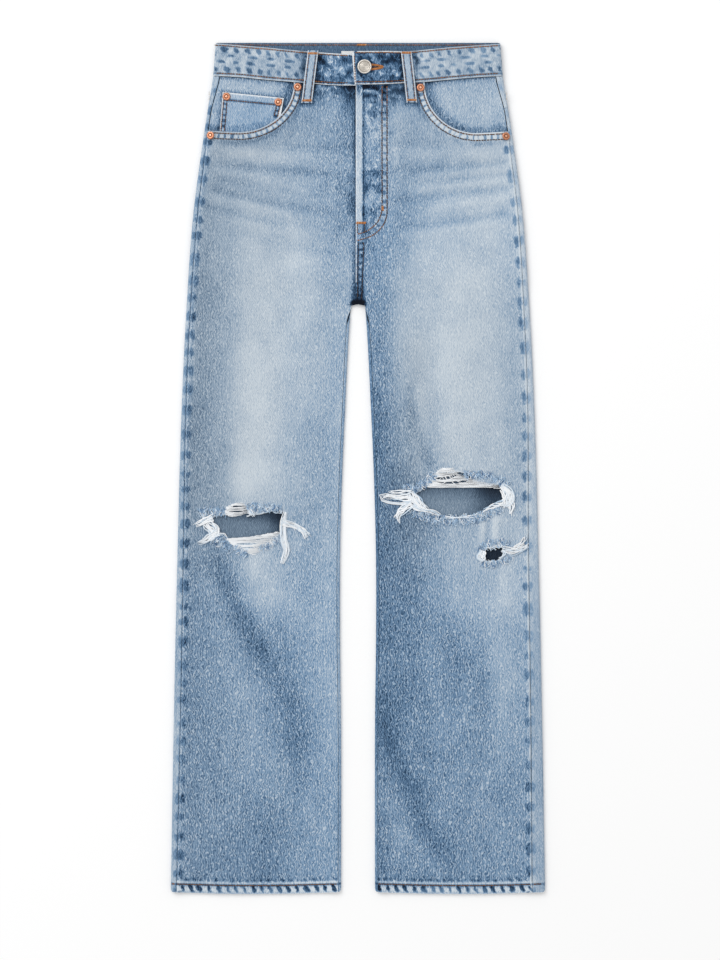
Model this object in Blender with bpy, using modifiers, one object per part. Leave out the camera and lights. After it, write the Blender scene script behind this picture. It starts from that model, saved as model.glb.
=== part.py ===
"""Ripped, high-waisted, wide-legged jeans that lie flat on their back, front side up.

Run with: blender --background --python part.py

X runs to the wearer's left, Y from the hems up to the waist, and Z up from the surface they lie on.
The origin is on that surface, under the middle of the outline. Sizes here are in millimetres.
A side is 1 for the wearer's left and -1 for the wearer's right.

Each cloth piece is a sheet whose outer face comes from a few named sizes and short tables, with its wall
inside that face. The back panels lie on the surface and wrap round both edges of each leg, up to the
outseam and the inseam, where the front panels meet them.
"""

import math
from collections import namedtuple

import bmesh
import bpy
from mathutils import Matrix, Vector

MM = 0.001
COLLECTION = "ripped_jeans"

# Cloth and the gaps between pieces.
CLOTH = 1.2  # one layer of denim
BAND_CLOTH = 2.4  # the waistband is doubled
GAP = 0.3  # between pieces whose edges are straight
SEAM_GAP = 0.5  # between pieces along a curved seam
LAYER = CLOTH + 0.5  # from one layer's face to the next one's

# Heights along the garment.
WAIST_TOP = 510.0  # top edge of the waistband at the back
BACK_BAND_BOTTOM = 470.2
YOKE_TOP = 469.3
HEM = -507.6  # bottom edge at the sides of each leg
HEM_BOW = 2.4  # how much lower the middle of each hem hangs
CROTCH = 196.2
CROTCH_ROUND = 1.0  # how far below and above it the corners of the crotch reach
WRAP_START, WRAP_END = 193.0, 170.0  # where the back panel starts to wrap round the inseam, and has

# How the cloth rests.
SIDE_FOLD = 2.5  # radius of the fold at the outer edge
INNER_FOLD = 2.2  # radius of the fold at the inner edge
INSEAM_INSET = 3.2  # from the inner edge to the inseam
SIDE_SLOPE = 30.0  # how far in from the side fold the front panel comes down
INNER_SLOPE = 25.0
POCKET_REST_LOW, POCKET_REST_HIGH = 205.0, 236.0  # the seat lies on its pockets from here up

# Waistband and fly.
BAND_TOP = 7.8  # height of the front band's face above the surface
BAND_LIFT = LAYER + CLOTH  # how much higher its left end lies, on the right end
BAND_RIGHT_END = 26.0
BAND_LEFT_END = -6.0
LAP_FLAT, LAP_DOWN = 32.0, 62.0  # where the lapped band starts down from the lap, and is down
LAP_EDGE = -2.6  # edge of the left front over the right
UNDERLAP = 4.0  # how far the right front reaches under the left
SEAM_RISE = 22.0  # how far below the band the panels start up to it
BAND_STEP = 1.2  # how much lower than the band's face the panels meet it

# Front pockets.
FACING_HEM = 12.0  # how far the facing goes on below the pocket's edge
COIN_HEM = 8.0
COIN_HIGH = ((-162.0, 450.6), (-88.8, 443.4))
COIN_LOW_X = (-166.0, -94.5)

# Trim.
LOOP_WIDTH = 12.6
LOOP_ARCH = 1.2
BUTTON_AT = (7.8, 480.0)
BUTTON_RADIUS = 8.5
RIVET_RADIUS = 4.7

# How far each edge is from the middle: the outer edge, and the outseam from that edge on each side.
Side = namedtuple("Side", "y outer inset_right inset_left")
SIDES = (
    Side(510.0, 170.4, 7.5, 8.0),
    Side(466.0, 174.0, 7.2, 8.0),
    Side(430.0, 180.0, 4.2, 4.6),
    Side(382.0, 187.2, 4.4, 4.8),
    Side(310.0, 196.8, 5.0, 5.4),
    Side(202.0, 205.0, 4.6, 6.4),
    Side(82.0, 211.0, 4.8, 7.4),
    Side(-86.0, 216.0, 6.6, 11.4),
    Side(-302.0, 220.8, 7.6, 13.2),
    Side(-510.0, 224.4, 6.4, 15.2),
)

# The inner edge of each leg, from the middle.
Inner = namedtuple("Inner", "y half_gap")
INNERS = (
    Inner(200.0, 8.2),
    Inner(154.0, 11.4),
    Inner(82.0, 15.0),
    Inner(-14.0, 19.2),
    Inner(-110.0, 21.6),
    Inner(-206.0, 21.6),
    Inner(-302.0, 20.4),
    Inner(-510.0, 20.4),
)

# The front band's edges, by the distance from the middle.
Band = namedtuple("Band", "x right_top left_top right_bottom left_bottom")
BANDS = (
    Band(0.0, 495.4, 499.0, 458.3, 459.2),
    Band(30.0, 496.8, 499.2, 458.8, 459.6),
    Band(60.0, 499.1, 499.4, 461.2, 461.6),
    Band(85.0, 501.3, 501.6, 463.3, 463.2),
    Band(110.0, 503.8, 504.0, 465.4, 465.6),
    Band(140.0, 506.2, 506.2, 468.5, 468.2),
    Band(176.0, 509.2, 508.6, 470.3, 470.3),
)

# The scooped pocket edges: a quarter ellipse, then a line that rises a little to the outseam.
Scoop = namedtuple("Scoop", "side x_start x_low y_start depth")
SCOOPS = {
    -1: Scoop(-1, 76.8, 142.8, 461.0, 58.4),
    1: Scoop(1, 79.8, 141.8, 461.6, 60.0),
}
SCOOP_RISE = 0.04  # of the line, for each mm outwards

# Soft swells of the front panels, each along a line from one end to the other.
Swell = namedtuple("Swell", "x0 y0 x1 y1 reach rise")
SWELLS = (
    Swell(-120, 320, -134, 60, 46, 1.7),
    Swell(-62, 230, -70, -20, 30, 0.9),
    Swell(-155, -112, -80, -265, 24, 1.5),
    Swell(-92, -300, -122, -470, 38, 1.5),
    Swell(118, 300, 112, 50, 46, 1.8),
    Swell(62, 170, 76, -110, 30, 0.9),
    Swell(84, -120, 152, -255, 26, 1.3),
    Swell(126, -310, 108, -470, 38, 1.6),
)

# The outlines of the rips.
RIPS = {
    "rip_right_knee": (
        (-175.5, -61.0),
        (-166.0, -75.0),
        (-157.0, -84.5),
        (-146.0, -86.0),
        (-130.0, -84.0),
        (-112.0, -80.0),
        (-93.5, -76.0),
        (-91.0, -66.0),
        (-89.5, -52.0),
        (-100.0, -52.5),
        (-118.0, -56.0),
        (-140.0, -55.0),
        (-160.0, -56.5),
    ),
    "rip_left_knee": (
        (70.5, -33.0),
        (75.0, -42.0),
        (84.0, -49.0),
        (97.0, -54.0),
        (112.0, -57.5),
        (128.0, -57.5),
        (148.0, -52.0),
        (160.0, -46.0),
        (170.0, -38.0),
        (171.5, -25.0),
        (152.0, -21.0),
        (137.0, -18.6),
        (124.0, -21.0),
        (90.0, -22.0),
        (77.0, -26.0),
    ),
    "rip_left_shin": (
        (149.0, -99.0),
        (151.5, -105.0),
        (155.0, -110.0),
        (167.0, -109.0),
        (171.5, -104.0),
        (174.0, -95.5),
        (161.0, -96.6),
    ),
}
RIPPED = {-1: ("rip_right_knee",), 1: ("rip_left_knee", "rip_left_shin")}

# Back pieces, which lie under the seat. The yoke seam is lower in the middle.
YOKE_MIDDLE, YOKE_SIDE = 398.0, 432.0
BACK_POCKET = ((34, 386), (50, 262), (98, 240), (150, 262), (160, 396))

# Belt loops: the middle of each end, and on which side of the garment it is.
Loop = namedtuple("Loop", "name x_low y_low x_high y_high")
FRONT_LOOPS = (
    Loop("loop_front_right", -61.5, 437.4, -53.7, 500.0),
    Loop("loop_front_left", 64.5, 438.0, 57.6, 498.6),
)
BACK_LOOPS = (
    Loop("loop_back_right", -118.0, 443.0, -114.0, 508.0),
    Loop("loop_back_centre", 4.5, 443.0, 4.5, 508.0),
    Loop("loop_back_left", 118.0, 443.0, 114.0, 508.0),
)

# Rivets: where each is, and how far it leans outwards, in degrees.
Rivet = namedtuple("Rivet", "x y lean")
RIVETS = (
    Rivet(-72.2, 456.4, 0),
    Rivet(-157.4, 445.0, 0),
    Rivet(-95.4, 438.6, 0),
    Rivet(-176.4, 398.2, -14),
    Rivet(75.0, 455.8, 0),
    Rivet(177.0, 397.4, 14),
)

CUTTER_HEIGHTS = (-5.0, 30.0)

LABEL_SIZE = (19.0, 24.0, 0.5)
LABEL_AT = (-10.5, 488.0)

DENIM = (0.36, 0.49, 0.66)
DENIM_DARK = (0.24, 0.34, 0.48)
LABEL_WHITE = (0.85, 0.86, 0.86)
COPPER = (0.62, 0.30, 0.18)
NICKEL = (0.62, 0.60, 0.57)


# ---- Curves through the tables -----------------------------------------------------------------


def smooth(low, high, value):
    """0 up to low, 1 from high on, and a soft step between them."""
    t = min(1.0, max(0.0, (value - low) / (high - low)))
    return t * t * (3 - 2 * t)


def mix(a, b, t):
    return a + (b - a) * t


def curve(rows, key, name):
    """A function that passes smoothly through one column of a table, and goes straight on past it."""
    points = sorted((getattr(row, key), getattr(row, name)) for row in rows)
    xs = [point[0] for point in points]
    ys = [point[1] for point in points]
    steps = [(ys[i + 1] - ys[i]) / (xs[i + 1] - xs[i]) for i in range(len(xs) - 1)]
    slopes = [steps[0]]
    slopes += [(steps[i] + steps[i + 1]) / 2 for i in range(len(steps) - 1)]
    slopes.append(steps[-1])

    def value(x):
        if x <= xs[0]:
            return ys[0] + slopes[0] * (x - xs[0])
        if x >= xs[-1]:
            return ys[-1] + slopes[-1] * (x - xs[-1])
        i = max(k for k in range(len(xs) - 1) if xs[k] <= x)
        width = xs[i + 1] - xs[i]
        t = (x - xs[i]) / width
        start = (2 * t + 1) * (1 - t) ** 2 * ys[i] + t * (1 - t) ** 2 * width * slopes[i]
        end = t * t * (3 - 2 * t) * ys[i + 1] + t * t * (t - 1) * width * slopes[i + 1]
        return start + end

    return value


outer_edge = curve(SIDES, "y", "outer")
side_inset = {-1: curve(SIDES, "y", "inset_right"), 1: curve(SIDES, "y", "inset_left")}
half_gap = curve(INNERS, "y", "half_gap")
band_top_edge = {-1: curve(BANDS, "x", "right_top"), 1: curve(BANDS, "x", "left_top")}
band_bottom_edge = {-1: curve(BANDS, "x", "right_bottom"), 1: curve(BANDS, "x", "left_bottom")}


# ---- The form of the garment -------------------------------------------------------------------


def ground(y):
    """The height of the back panels' underside: on the surface, or on the back pockets and loops."""
    return LAYER * smooth(POCKET_REST_LOW, POCKET_REST_HIGH, y)


def wrap(y):
    """How far the back panel has wrapped round the inner edge, from 0 at the crotch to 1."""
    return smooth(-WRAP_START, -WRAP_END, -y)


def crotch_edge(y, middle, leg):
    """An inner edge that runs down the middle and turns sideways to the leg at the crotch."""
    t = min(1.0, max(0.0, (CROTCH + CROTCH_ROUND - y) / (2 * CROTCH_ROUND)))
    return mix(middle, leg, math.sin(t * math.pi / 2) ** 1.5 if t < 1 else 1.0)


def inner_edge(y):
    return crotch_edge(y, GAP / 2, half_gap(y))


def outseam(side, y):
    return outer_edge(y) - side_inset[side](y)


def beyond_scoop(side, x, y):
    """How far a point lies outside the pocket's edge, in about mm. Negative inside the opening."""
    scoop = SCOOPS[side]
    size = (scoop.x_low - scoop.x_start, scoop.depth)
    across = min(0.0, side * x - scoop.x_low) / size[0]
    rise = SCOOP_RISE * max(0.0, side * x - scoop.x_low)
    down = (y - rise - scoop.y_start) / size[1]
    return (math.hypot(across, min(0.0, down)) - 1) * (size[0] + size[1]) / 2


def scoop_edge(side, x, outside=0.0):
    """The height of the pocket's edge at x, or of the line that far outside it."""
    scoop = SCOOPS[side]
    width = scoop.x_low - scoop.x_start + outside
    depth = scoop.depth + outside
    across = min(1.0, max(0.0, (scoop.x_low - side * x) / width))
    rise = SCOOP_RISE * max(0.0, side * x - scoop.x_low)
    return scoop.y_start - depth * math.sqrt(1 - across * across) + rise


def pocket_layer(side, x, y):
    """1 where the facing lies under the front panel or shows, falling to 0 below it."""
    return 1 - smooth(FACING_HEM + 4, FACING_HEM + 34, beyond_scoop(side, x, y))


def coin_layer(x, y):
    """1 where the coin pocket lies, falling to 0 round it."""
    low = 1 - smooth(COIN_HEM + 4, COIN_HEM + 26, beyond_scoop(-1, x, y))
    return low * smooth(-184, -168, x) * (1 - smooth(-88, -68, x))


def swells(x, y):
    """The sum of the soft swells at a point."""
    total = 0.0
    for swell in SWELLS:
        start = Vector((swell.x0, swell.y0))
        line = Vector((swell.x1, swell.y1)) - start
        t = min(1.0, max(0.0, (Vector((x, y)) - start).dot(line) / line.length_squared))
        away = (Vector((x, y)) - start - line * t).length
        total += swell.rise * (1 - smooth(0, swell.reach, away))
    return total


def band_face(side, x):
    """The height of the front band's face."""
    if side < 0:
        return BAND_TOP
    return BAND_TOP + BAND_LIFT * (1 - smooth(LAP_FLAT, LAP_DOWN, x))


def lower_front(side, x, y):
    """The top of the first layer over the back panel: the front panel, or the facing under it."""
    edge = 2 * SIDE_FOLD - LAYER - CLOTH
    inner = 2 * INNER_FOLD - LAYER - CLOTH
    height = ground(y) + LAYER + CLOTH + swells(x, y)
    height += edge * (1 - smooth(0, SIDE_SLOPE, outer_edge(y) - abs(x)))
    height += inner * wrap(y) * (1 - smooth(0, INNER_SLOPE, abs(x) - half_gap(y)))
    if side > 0:
        height += LAYER * (1 - smooth(8, 40, x)) * smooth(140, CROTCH - 6, y)
    bottom = band_bottom_edge[side](abs(x))
    meet = band_face(side, x) - BAND_STEP - LAYER * pocket_layer(side, x, y)
    return mix(height, meet, smooth(bottom - SEAM_RISE, bottom, y))


def front_top(side, x, y):
    """The height of the front panel's face, lifted by the pocket pieces under it."""
    height = lower_front(side, x, y) + LAYER * pocket_layer(side, x, y)
    if side < 0:
        height += (LAYER + GAP) * coin_layer(x, y)
    return height


def front_face(side, x, y):
    """The height of whatever is uppermost there, for what is fastened on it."""
    bottom = band_bottom_edge[side](abs(x))
    height = front_top(side, x, y)
    if beyond_scoop(side, x, y) < 0:
        height = lower_front(side, x, y) + (LAYER if side < 0 else 0)
    return mix(height, band_face(side, x), smooth(bottom - 8, bottom - 1.5, y))


# ---- Making pieces -----------------------------------------------------------------------------


def clear_scene():
    for thing in list(bpy.data.objects):
        bpy.data.objects.remove(thing, do_unlink=True)


def new_collection(name):
    collection = bpy.data.collections.new(name)
    bpy.context.scene.collection.children.link(collection)
    return collection


def new_material(name, colour, roughness=0.9, metallic=0.0):
    material = bpy.data.materials.new(name)
    material.use_nodes = True
    shader = material.node_tree.nodes["Principled BSDF"]
    shader.inputs["Base Color"].default_value = (*colour, 1)
    shader.inputs["Roughness"].default_value = roughness
    shader.inputs["Metallic"].default_value = metallic
    material.diffuse_color = (*colour, 1)
    return material


def new_part(name, form, collection, material):
    """An object with the mesh of this bmesh, its sizes turned from millimetres into metres."""
    bmesh.ops.scale(form, vec=(MM, MM, MM), verts=form.verts)
    mesh = bpy.data.meshes.new(name)
    form.to_mesh(mesh)
    form.free()
    thing = bpy.data.objects.new(name, mesh)
    if material:
        mesh.materials.append(material)
    collection.objects.link(thing)
    return thing


def sheet(name, columns, rows, place, collection, material, wall=CLOTH):
    """A sheet of cloth. place(column, row) is a point of its outer face, and the wall is inside it."""
    form = bmesh.new()
    across, along = len(columns) - 1, len(rows) - 1
    bmesh.ops.create_grid(form, x_segments=across, y_segments=along, size=0.5)
    for vertex in form.verts:
        column = columns[round((vertex.co.x + 0.5) * across)]
        row = rows[round((vertex.co.y + 0.5) * along)]
        vertex.co = Vector(place(column, row))
    part = new_part(name, form, collection, material)
    solid = part.modifiers.new("Wall", "SOLIDIFY")
    solid.thickness = wall * MM
    solid.offset = -1
    solid.use_even_offset = True
    return part


def prism(name, outline, low, high, collection, material=None):
    """A flat outline, raised from one height to another."""
    form = bmesh.new()
    corners = [form.verts.new((x, y, low)) for x, y in outline]
    base = form.faces.new(corners)
    raised = bmesh.ops.extrude_face_region(form, geom=[base])
    tops = [item for item in raised["geom"] if isinstance(item, bmesh.types.BMVert)]
    bmesh.ops.translate(form, vec=(0, 0, high - low), verts=tops)
    bmesh.ops.recalc_face_normals(form, faces=form.faces)
    return new_part(name, form, collection, material)


def turned(name, profile, steps, collection, material):
    """A turned piece. The profile runs down its outer side, from the top of its axis to the bottom."""
    form = bmesh.new()
    points = [form.verts.new((radius, 0, height)) for radius, height in profile]
    for start, end in zip(points, points[1:]):
        form.edges.new((start, end))
    part = new_part(name, form, collection, material)
    screw = part.modifiers.new("Turn", "SCREW")
    screw.axis = "Z"
    screw.steps = steps
    screw.render_steps = steps
    screw.use_merge_vertices = True
    screw.merge_threshold = 0.00001
    return part


def cut(part, cutter):
    boolean = part.modifiers.new(cutter.name, "BOOLEAN")
    boolean.operation = "DIFFERENCE"
    boolean.solver = "EXACT"
    boolean.object = cutter


def spread(low, high, count):
    """count + 1 numbers from low to high."""
    return [mix(low, high, i / count) for i in range(count + 1)]


# ---- Back panels and yokes ---------------------------------------------------------------------


def back_stations():
    """The columns of a back section: from the outseam over the side fold, the floor and the inner fold."""
    stations = [("seam", 0.0)]
    stations += [("side", t) for t in spread(0, 1, 6)]
    stations += [("floor", t) for t in spread(0, 1, 6)[1:]]
    stations += [("inner", t) for t in spread(0, 1, 6)[1:]]
    return stations


def back_section(side, y, station):
    """(distance from the middle, height) of a point on the outer face of a back section."""
    stretch, t = station
    base = ground(y)
    outer = outer_edge(y)
    if stretch == "seam":
        return outseam(side, y), base + 2 * SIDE_FOLD
    if stretch == "side":
        angle = t * math.pi
        reach = SIDE_FOLD * math.sin(angle)
        return outer - SIDE_FOLD + reach, base + SIDE_FOLD * (1 + math.cos(angle))
    flat_end, turned_length, flat_length = inner_run(y)
    if stretch == "floor":
        return mix(outer - SIDE_FOLD, flat_end, t), base
    gone = t * (flat_length + turned_length)
    if gone <= flat_length:
        return flat_end - gone, base
    angle = min(math.pi, (gone - flat_length) / INNER_FOLD)
    back = max(0.0, gone - flat_length - math.pi * INNER_FOLD)
    x = flat_end - flat_length - INNER_FOLD * math.sin(angle) + back
    return x, base + INNER_FOLD * (1 - math.cos(angle))


def inner_run(y):
    """Where the inner stretch of a back section starts, and how much of it turns up and stays flat."""
    length = math.pi * INNER_FOLD + INSEAM_INSET - INNER_FOLD
    turned_length = wrap(y) * length
    flat_length = length - turned_length
    angle = min(math.pi / 2, turned_length / INNER_FOLD)
    start = inner_edge(y) + flat_length + INNER_FOLD * math.sin(angle)
    return start, turned_length, flat_length


def yoke_seam(x):
    return mix(YOKE_MIDDLE, YOKE_SIDE, abs(x) / outer_edge(YOKE_SIDE))


def hem_line(x):
    """The bottom edge of a leg, which hangs a little lower in its middle."""
    low, high = half_gap(HEM), outer_edge(HEM)
    t = (2 * abs(x) - low - high) / (high - low)
    return HEM - HEM_BOW * (1 - min(1.0, t * t))


def bend_row(y, x, low_line, high_line, low, high):
    """A row's height at x: rows near either end of a panel follow that end's own line."""
    y += (high_line(x) - high) * smooth(high - 170, high, y)
    return y + (low_line(x) - low) * smooth(-low - 60, -low, -y)


def back_piece(name, side, rows, low_line, high_line, collection, material):
    """A back piece between two lines across the garment."""
    low, high = rows[0], rows[-1]
    stations = back_stations()
    if side < 0:
        stations.reverse()

    def place(station, row):
        y = row
        for _ in range(4):
            x, z = back_section(side, y, station)
            y = bend_row(row, x, low_line, high_line, low, high)
        return side * x, y, z

    return sheet(name, stations, rows, place, collection, material)


def leg_rows():
    """Rows up a leg to just under the crotch, closer together at the hem."""
    return [HEM, -492, -470] + spread(-430, 146, 13)


def crotch_rows():
    """Rows close together where the inner edge turns at the crotch."""
    low, high = CROTCH - CROTCH_ROUND, CROTCH + CROTCH_ROUND
    turning = spread(WRAP_END, WRAP_START, 5)
    return turning + [low, CROTCH - 0.4, CROTCH + 0.4, high, high + 6]


def back_panels(collection, material):
    for side, word in ((-1, "right"), (1, "left")):
        seam = YOKE_MIDDLE
        rows = leg_rows() + crotch_rows() + [220, 240] + spread(270, 360, 3) + [seam]
        back_piece(
            f"back_{word}",
            side,
            rows,
            hem_line,
            lambda x: yoke_seam(x) - GAP / 2,
            collection,
            material,
        )
        back_piece(
            f"yoke_{word}",
            side,
            spread(seam, YOKE_TOP, 4),
            lambda x: yoke_seam(x) + GAP / 2,
            lambda x: YOKE_TOP,
            collection,
            material,
        )


# ---- Front panels ------------------------------------------------------------------------------


def front_limits(side, y):
    """The front panel's inner and outer edges, as X."""
    turning = math.sin(math.pi * wrap(y))
    leg = half_gap(y) + wrap(y) * (INSEAM_INSET + SEAM_GAP) + turning
    middle = LAP_EDGE if side > 0 else -UNDERLAP
    inner = crotch_edge(y, middle, leg)
    return side * inner, side * (outseam(side, y) - SEAM_GAP)


def front_panel(name, side, collection, material):
    high = band_bottom_edge[side](0)
    rows = leg_rows() + crotch_rows() + [220, 240] + spread(270, 330, 2) + [350]
    rows += spread(368, 440, 7) + [450, high]
    columns = spread(0, 1, 9)

    def place(column, row):
        y = row
        for _ in range(4):
            limits = sorted(front_limits(side, y))
            x = mix(*limits, column)
            top = lambda at: band_bottom_edge[side](abs(at)) - SEAM_GAP
            y = bend_row(row, x, hem_line, top, HEM, high)
        return x, y, front_top(side, x, y)

    return sheet(name, columns, rows, place, collection, material)


def scoop_cutter(side, collection):
    """A block whose lower side is the pocket's edge. It reaches past the panel's top and side."""
    scoop = SCOOPS[side]
    past_side, past_top = 200.0, 490.0
    outline = []
    for angle in spread(0, math.pi / 2, 8):
        x = side * mix(scoop.x_low, scoop.x_start, math.cos(angle))
        outline.append((x, scoop_edge(side, x)))
    outline.append((side * past_side, scoop_edge(side, side * past_side)))
    outline.append((side * past_side, past_top))
    outline.append((side * scoop.x_start, past_top))
    name = f"scoop_{'left' if side > 0 else 'right'}"
    return prism(name, outline, *CUTTER_HEIGHTS, collection)


def front_panels(collection, cutters, material):
    for side, word in ((-1, "right"), (1, "left")):
        panel = front_panel(f"front_{word}", side, collection, material)
        cut(panel, scoop_cutter(side, cutters))
        for rip in RIPPED[side]:
            cut(panel, prism(rip, RIPS[rip], *CUTTER_HEIGHTS, cutters))


# ---- Front pockets -----------------------------------------------------------------------------


def facing(name, side, collection, material):
    scoop = SCOOPS[side]
    start = scoop.x_start - FACING_HEM + 3
    columns = spread(0, 1, 8)
    if side < 0:
        columns.reverse()

    def place(column, row):
        y = BACK_BAND_BOTTOM
        for _ in range(4):
            x = mix(start, outseam(side, y) - 2 * SEAM_GAP, column)
            low = scoop_edge(side, side * x, FACING_HEM)
            y = mix(low, band_bottom_edge[side](x) - SEAM_GAP, row)
        return side * x, y, lower_front(side, side * x, y)

    return sheet(name, columns, spread(0, 1, 6), place, collection, material)


def coin_pocket(collection, material):
    low_left, low_right = COIN_LOW_X
    (high_left, top_left), (high_right, top_right) = COIN_HIGH

    def place(column, row):
        low_x = mix(low_left, low_right, column)
        low_y = scoop_edge(-1, low_x, COIN_HEM)
        x = mix(low_x, mix(high_left, high_right, column), row)
        y = mix(low_y, mix(top_left, top_right, column), row)
        return x, y, lower_front(-1, x, y) + LAYER

    sheet("coin_pocket", spread(0, 1, 7), spread(0, 1, 4), place, collection, material)


# ---- Waistband ---------------------------------------------------------------------------------


def band_route():
    """The band's outer face from above, end to end: (stretch, X, height) of each column."""
    back = LAYER
    radius = (BAND_TOP - back) / 2
    half = outer_edge(WAIST_TOP) - radius
    route = [("right", x, BAND_TOP) for x in spread(BAND_RIGHT_END, -half, 9)]
    for angle in spread(0, math.pi, 6)[1:-1]:
        x = -half - radius * math.sin(angle)
        route.append(("right_side", x, back + radius * (1 + math.cos(angle))))
    route += [("back", x, back) for x in spread(-half, half, 10)]
    for angle in spread(0, math.pi, 6)[1:-1]:
        x = half + radius * math.sin(angle)
        route.append(("left_side", x, back + radius * (1 - math.cos(angle))))
    front = spread(half, LAP_DOWN, 4)[:-1] + spread(LAP_DOWN, LAP_FLAT, 5)
    front += spread(LAP_FLAT, BAND_LEFT_END, 2)[1:]
    route += [("left", x, band_face(1, x)) for x in front]
    return route


def band_edges(stretch, x, z):
    """The band's bottom and top edge at one column."""
    back = (BACK_BAND_BOTTOM, WAIST_TOP)
    if stretch == "back":
        return back
    side = -1 if stretch.startswith("right") else 1
    reach = 0.0 if side * x < 0 else abs(x)
    front = (band_bottom_edge[side](reach), band_top_edge[side](reach))
    if stretch in ("right", "left"):
        return front
    t = smooth(LAYER, BAND_TOP, z)
    return mix(back[0], front[0], t), mix(back[1], front[1], t)


def waistband(collection, material):
    route = band_route()
    flare = outer_edge(BACK_BAND_BOTTOM) / outer_edge(WAIST_TOP) - 1

    def place(column, row):
        stretch, x, z = column
        low, high = band_edges(*column)
        return x * (1 + flare * (1 - row)), mix(low, high, row), z

    route.reverse()
    sheet("waistband", route, spread(0, 1, 2), place, collection, material, BAND_CLOTH)


# ---- Belt loops, label, back pockets -----------------------------------------------------------


def front_loops(collection, material):
    for loop in FRONT_LOOPS:
        side = 1 if loop.x_low > 0 else -1

        def place(column, row, loop=loop, side=side):
            x = mix(loop.x_low, loop.x_high, row) + column * LOOP_WIDTH
            y = mix(loop.y_low, loop.y_high, row)
            rise = LAYER + LOOP_ARCH * math.sin(math.pi * row) ** 2
            return x, y, front_face(side, x, y) + rise

        sheet(loop.name, (-0.5, 0, 0.5), spread(0, 1, 12), place, collection, material)


def back_loops(collection, material):
    for loop in BACK_LOOPS:
        half = LOOP_WIDTH / 2
        outline = (
            (loop.x_low - half, loop.y_low),
            (loop.x_low + half, loop.y_low),
            (loop.x_high + half, loop.y_high),
            (loop.x_high - half, loop.y_high),
        )
        prism(loop.name, outline, 0, CLOTH, collection, material)


def back_pockets(collection, material):
    for side, word in ((-1, "right"), (1, "left")):
        outline = [(side * x, y) for x, y in BACK_POCKET]
        prism(f"back_pocket_{word}", outline, 0, CLOTH, collection, material)


def label(collection, material):
    form = bmesh.new()
    bmesh.ops.create_cube(form, size=1)
    bmesh.ops.scale(form, vec=LABEL_SIZE, verts=form.verts)
    height = LAYER + BAND_CLOTH + GAP + LABEL_SIZE[2] / 2
    bmesh.ops.translate(form, vec=(*LABEL_AT, height), verts=form.verts)
    new_part("label", form, collection, material)


# ---- Button and rivets -------------------------------------------------------------------------


def highest_under(x, y, radius):
    """The highest point of the front under a disc."""
    side = 1 if x > 0 else -1
    ring = [2 * math.pi * k / 12 for k in range(12)]
    places = [(x, y)]
    places += [(x + radius * math.cos(a), y + radius * math.sin(a)) for a in ring]
    return max(front_face(side, px, py) for px, py in places)


def button(collection, material):
    r = BUTTON_RADIUS
    profile = (
        (0, 3.1),
        (0.60 * r, 3.0),
        (0.76 * r, 2.7),
        (0.84 * r, 3.1),
        (0.94 * r, 3.0),
        (r, 2.3),
        (0.96 * r, 1.6),
        (0.60 * r, 0.8),
        (0.50 * r, 0),
        (0, 0),
    )
    part = turned("button", profile, 40, collection, material)
    x, y = BUTTON_AT
    part.location = Vector((x, y, band_face(1, x) + GAP)) * MM


def rivets(collection, material):
    r = RIVET_RADIUS
    profile = (
        (0, 1.3),
        (0.34 * r, 1.25),
        (0.46 * r, 0.85),
        (0.80 * r, 0.9),
        (r, 0.5),
        (0.98 * r, 0),
        (0, 0),
    )
    for number, rivet in enumerate(RIVETS, 1):
        part = turned(f"rivet_{number}", profile, 28, collection, material)
        lean = math.radians(rivet.lean)
        lift = highest_under(rivet.x, rivet.y, r) + GAP + abs(math.sin(lean)) * r
        part.matrix_world = Matrix.Translation(
            Vector((rivet.x, rivet.y, lift)) * MM
        ) @ Matrix.Rotation(lean, 4, "Y")


# ---- The whole garment -------------------------------------------------------------------------


def build():
    clear_scene()
    garment = new_collection(COLLECTION)
    cutters = new_collection("cutters")
    denim = new_material("denim", DENIM)
    denim_dark = new_material("denim_hidden", DENIM_DARK)
    back_panels(garment, denim)
    front_panels(garment, cutters, denim)
    facing("facing_right", -1, garment, denim)
    facing("facing_left", 1, garment, denim)
    coin_pocket(garment, denim)
    waistband(garment, denim)
    front_loops(garment, denim)
    back_loops(garment, denim)
    back_pockets(garment, denim_dark)
    label(garment, new_material("label", LABEL_WHITE, 0.7))
    button(garment, new_material("nickel", NICKEL, 0.3, 1.0))
    rivets(garment, new_material("copper", COPPER, 0.35, 1.0))
    for cutter in cutters.objects:
        cutter.hide_render = True
        cutter.display_type = "WIRE"


build()
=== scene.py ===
import math

import bpy
import numpy as np
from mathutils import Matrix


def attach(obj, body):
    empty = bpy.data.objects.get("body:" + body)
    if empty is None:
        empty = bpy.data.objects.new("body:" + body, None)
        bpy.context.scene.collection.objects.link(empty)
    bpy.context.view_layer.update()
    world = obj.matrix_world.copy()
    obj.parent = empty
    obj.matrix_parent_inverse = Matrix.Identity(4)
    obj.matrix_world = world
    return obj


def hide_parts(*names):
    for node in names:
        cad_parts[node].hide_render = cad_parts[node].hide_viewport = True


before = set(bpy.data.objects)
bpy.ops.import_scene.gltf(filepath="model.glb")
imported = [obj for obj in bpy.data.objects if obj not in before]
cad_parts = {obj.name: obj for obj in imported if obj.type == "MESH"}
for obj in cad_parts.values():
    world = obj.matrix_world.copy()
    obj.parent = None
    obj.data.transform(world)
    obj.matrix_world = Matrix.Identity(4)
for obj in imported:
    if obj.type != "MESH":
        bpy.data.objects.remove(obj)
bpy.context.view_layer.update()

# Sizes are in millimetres. X runs to the wearer's left, Y from the hems up to the waist, Z up.
# A side is 1 for the wearer's left and -1 for the wearer's right.
MM = 0.001
RNG = np.random.default_rng(20)

TURN = 2 * math.pi
LUMPS = 64  # lumps each way before the noise repeats
SETTLE = 4  # rounds that find a grid's rows where its columns are
AT_ONCE = 2_000_000  # distances that are worked out at once

# ---- The garment's own sizes ----

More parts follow.
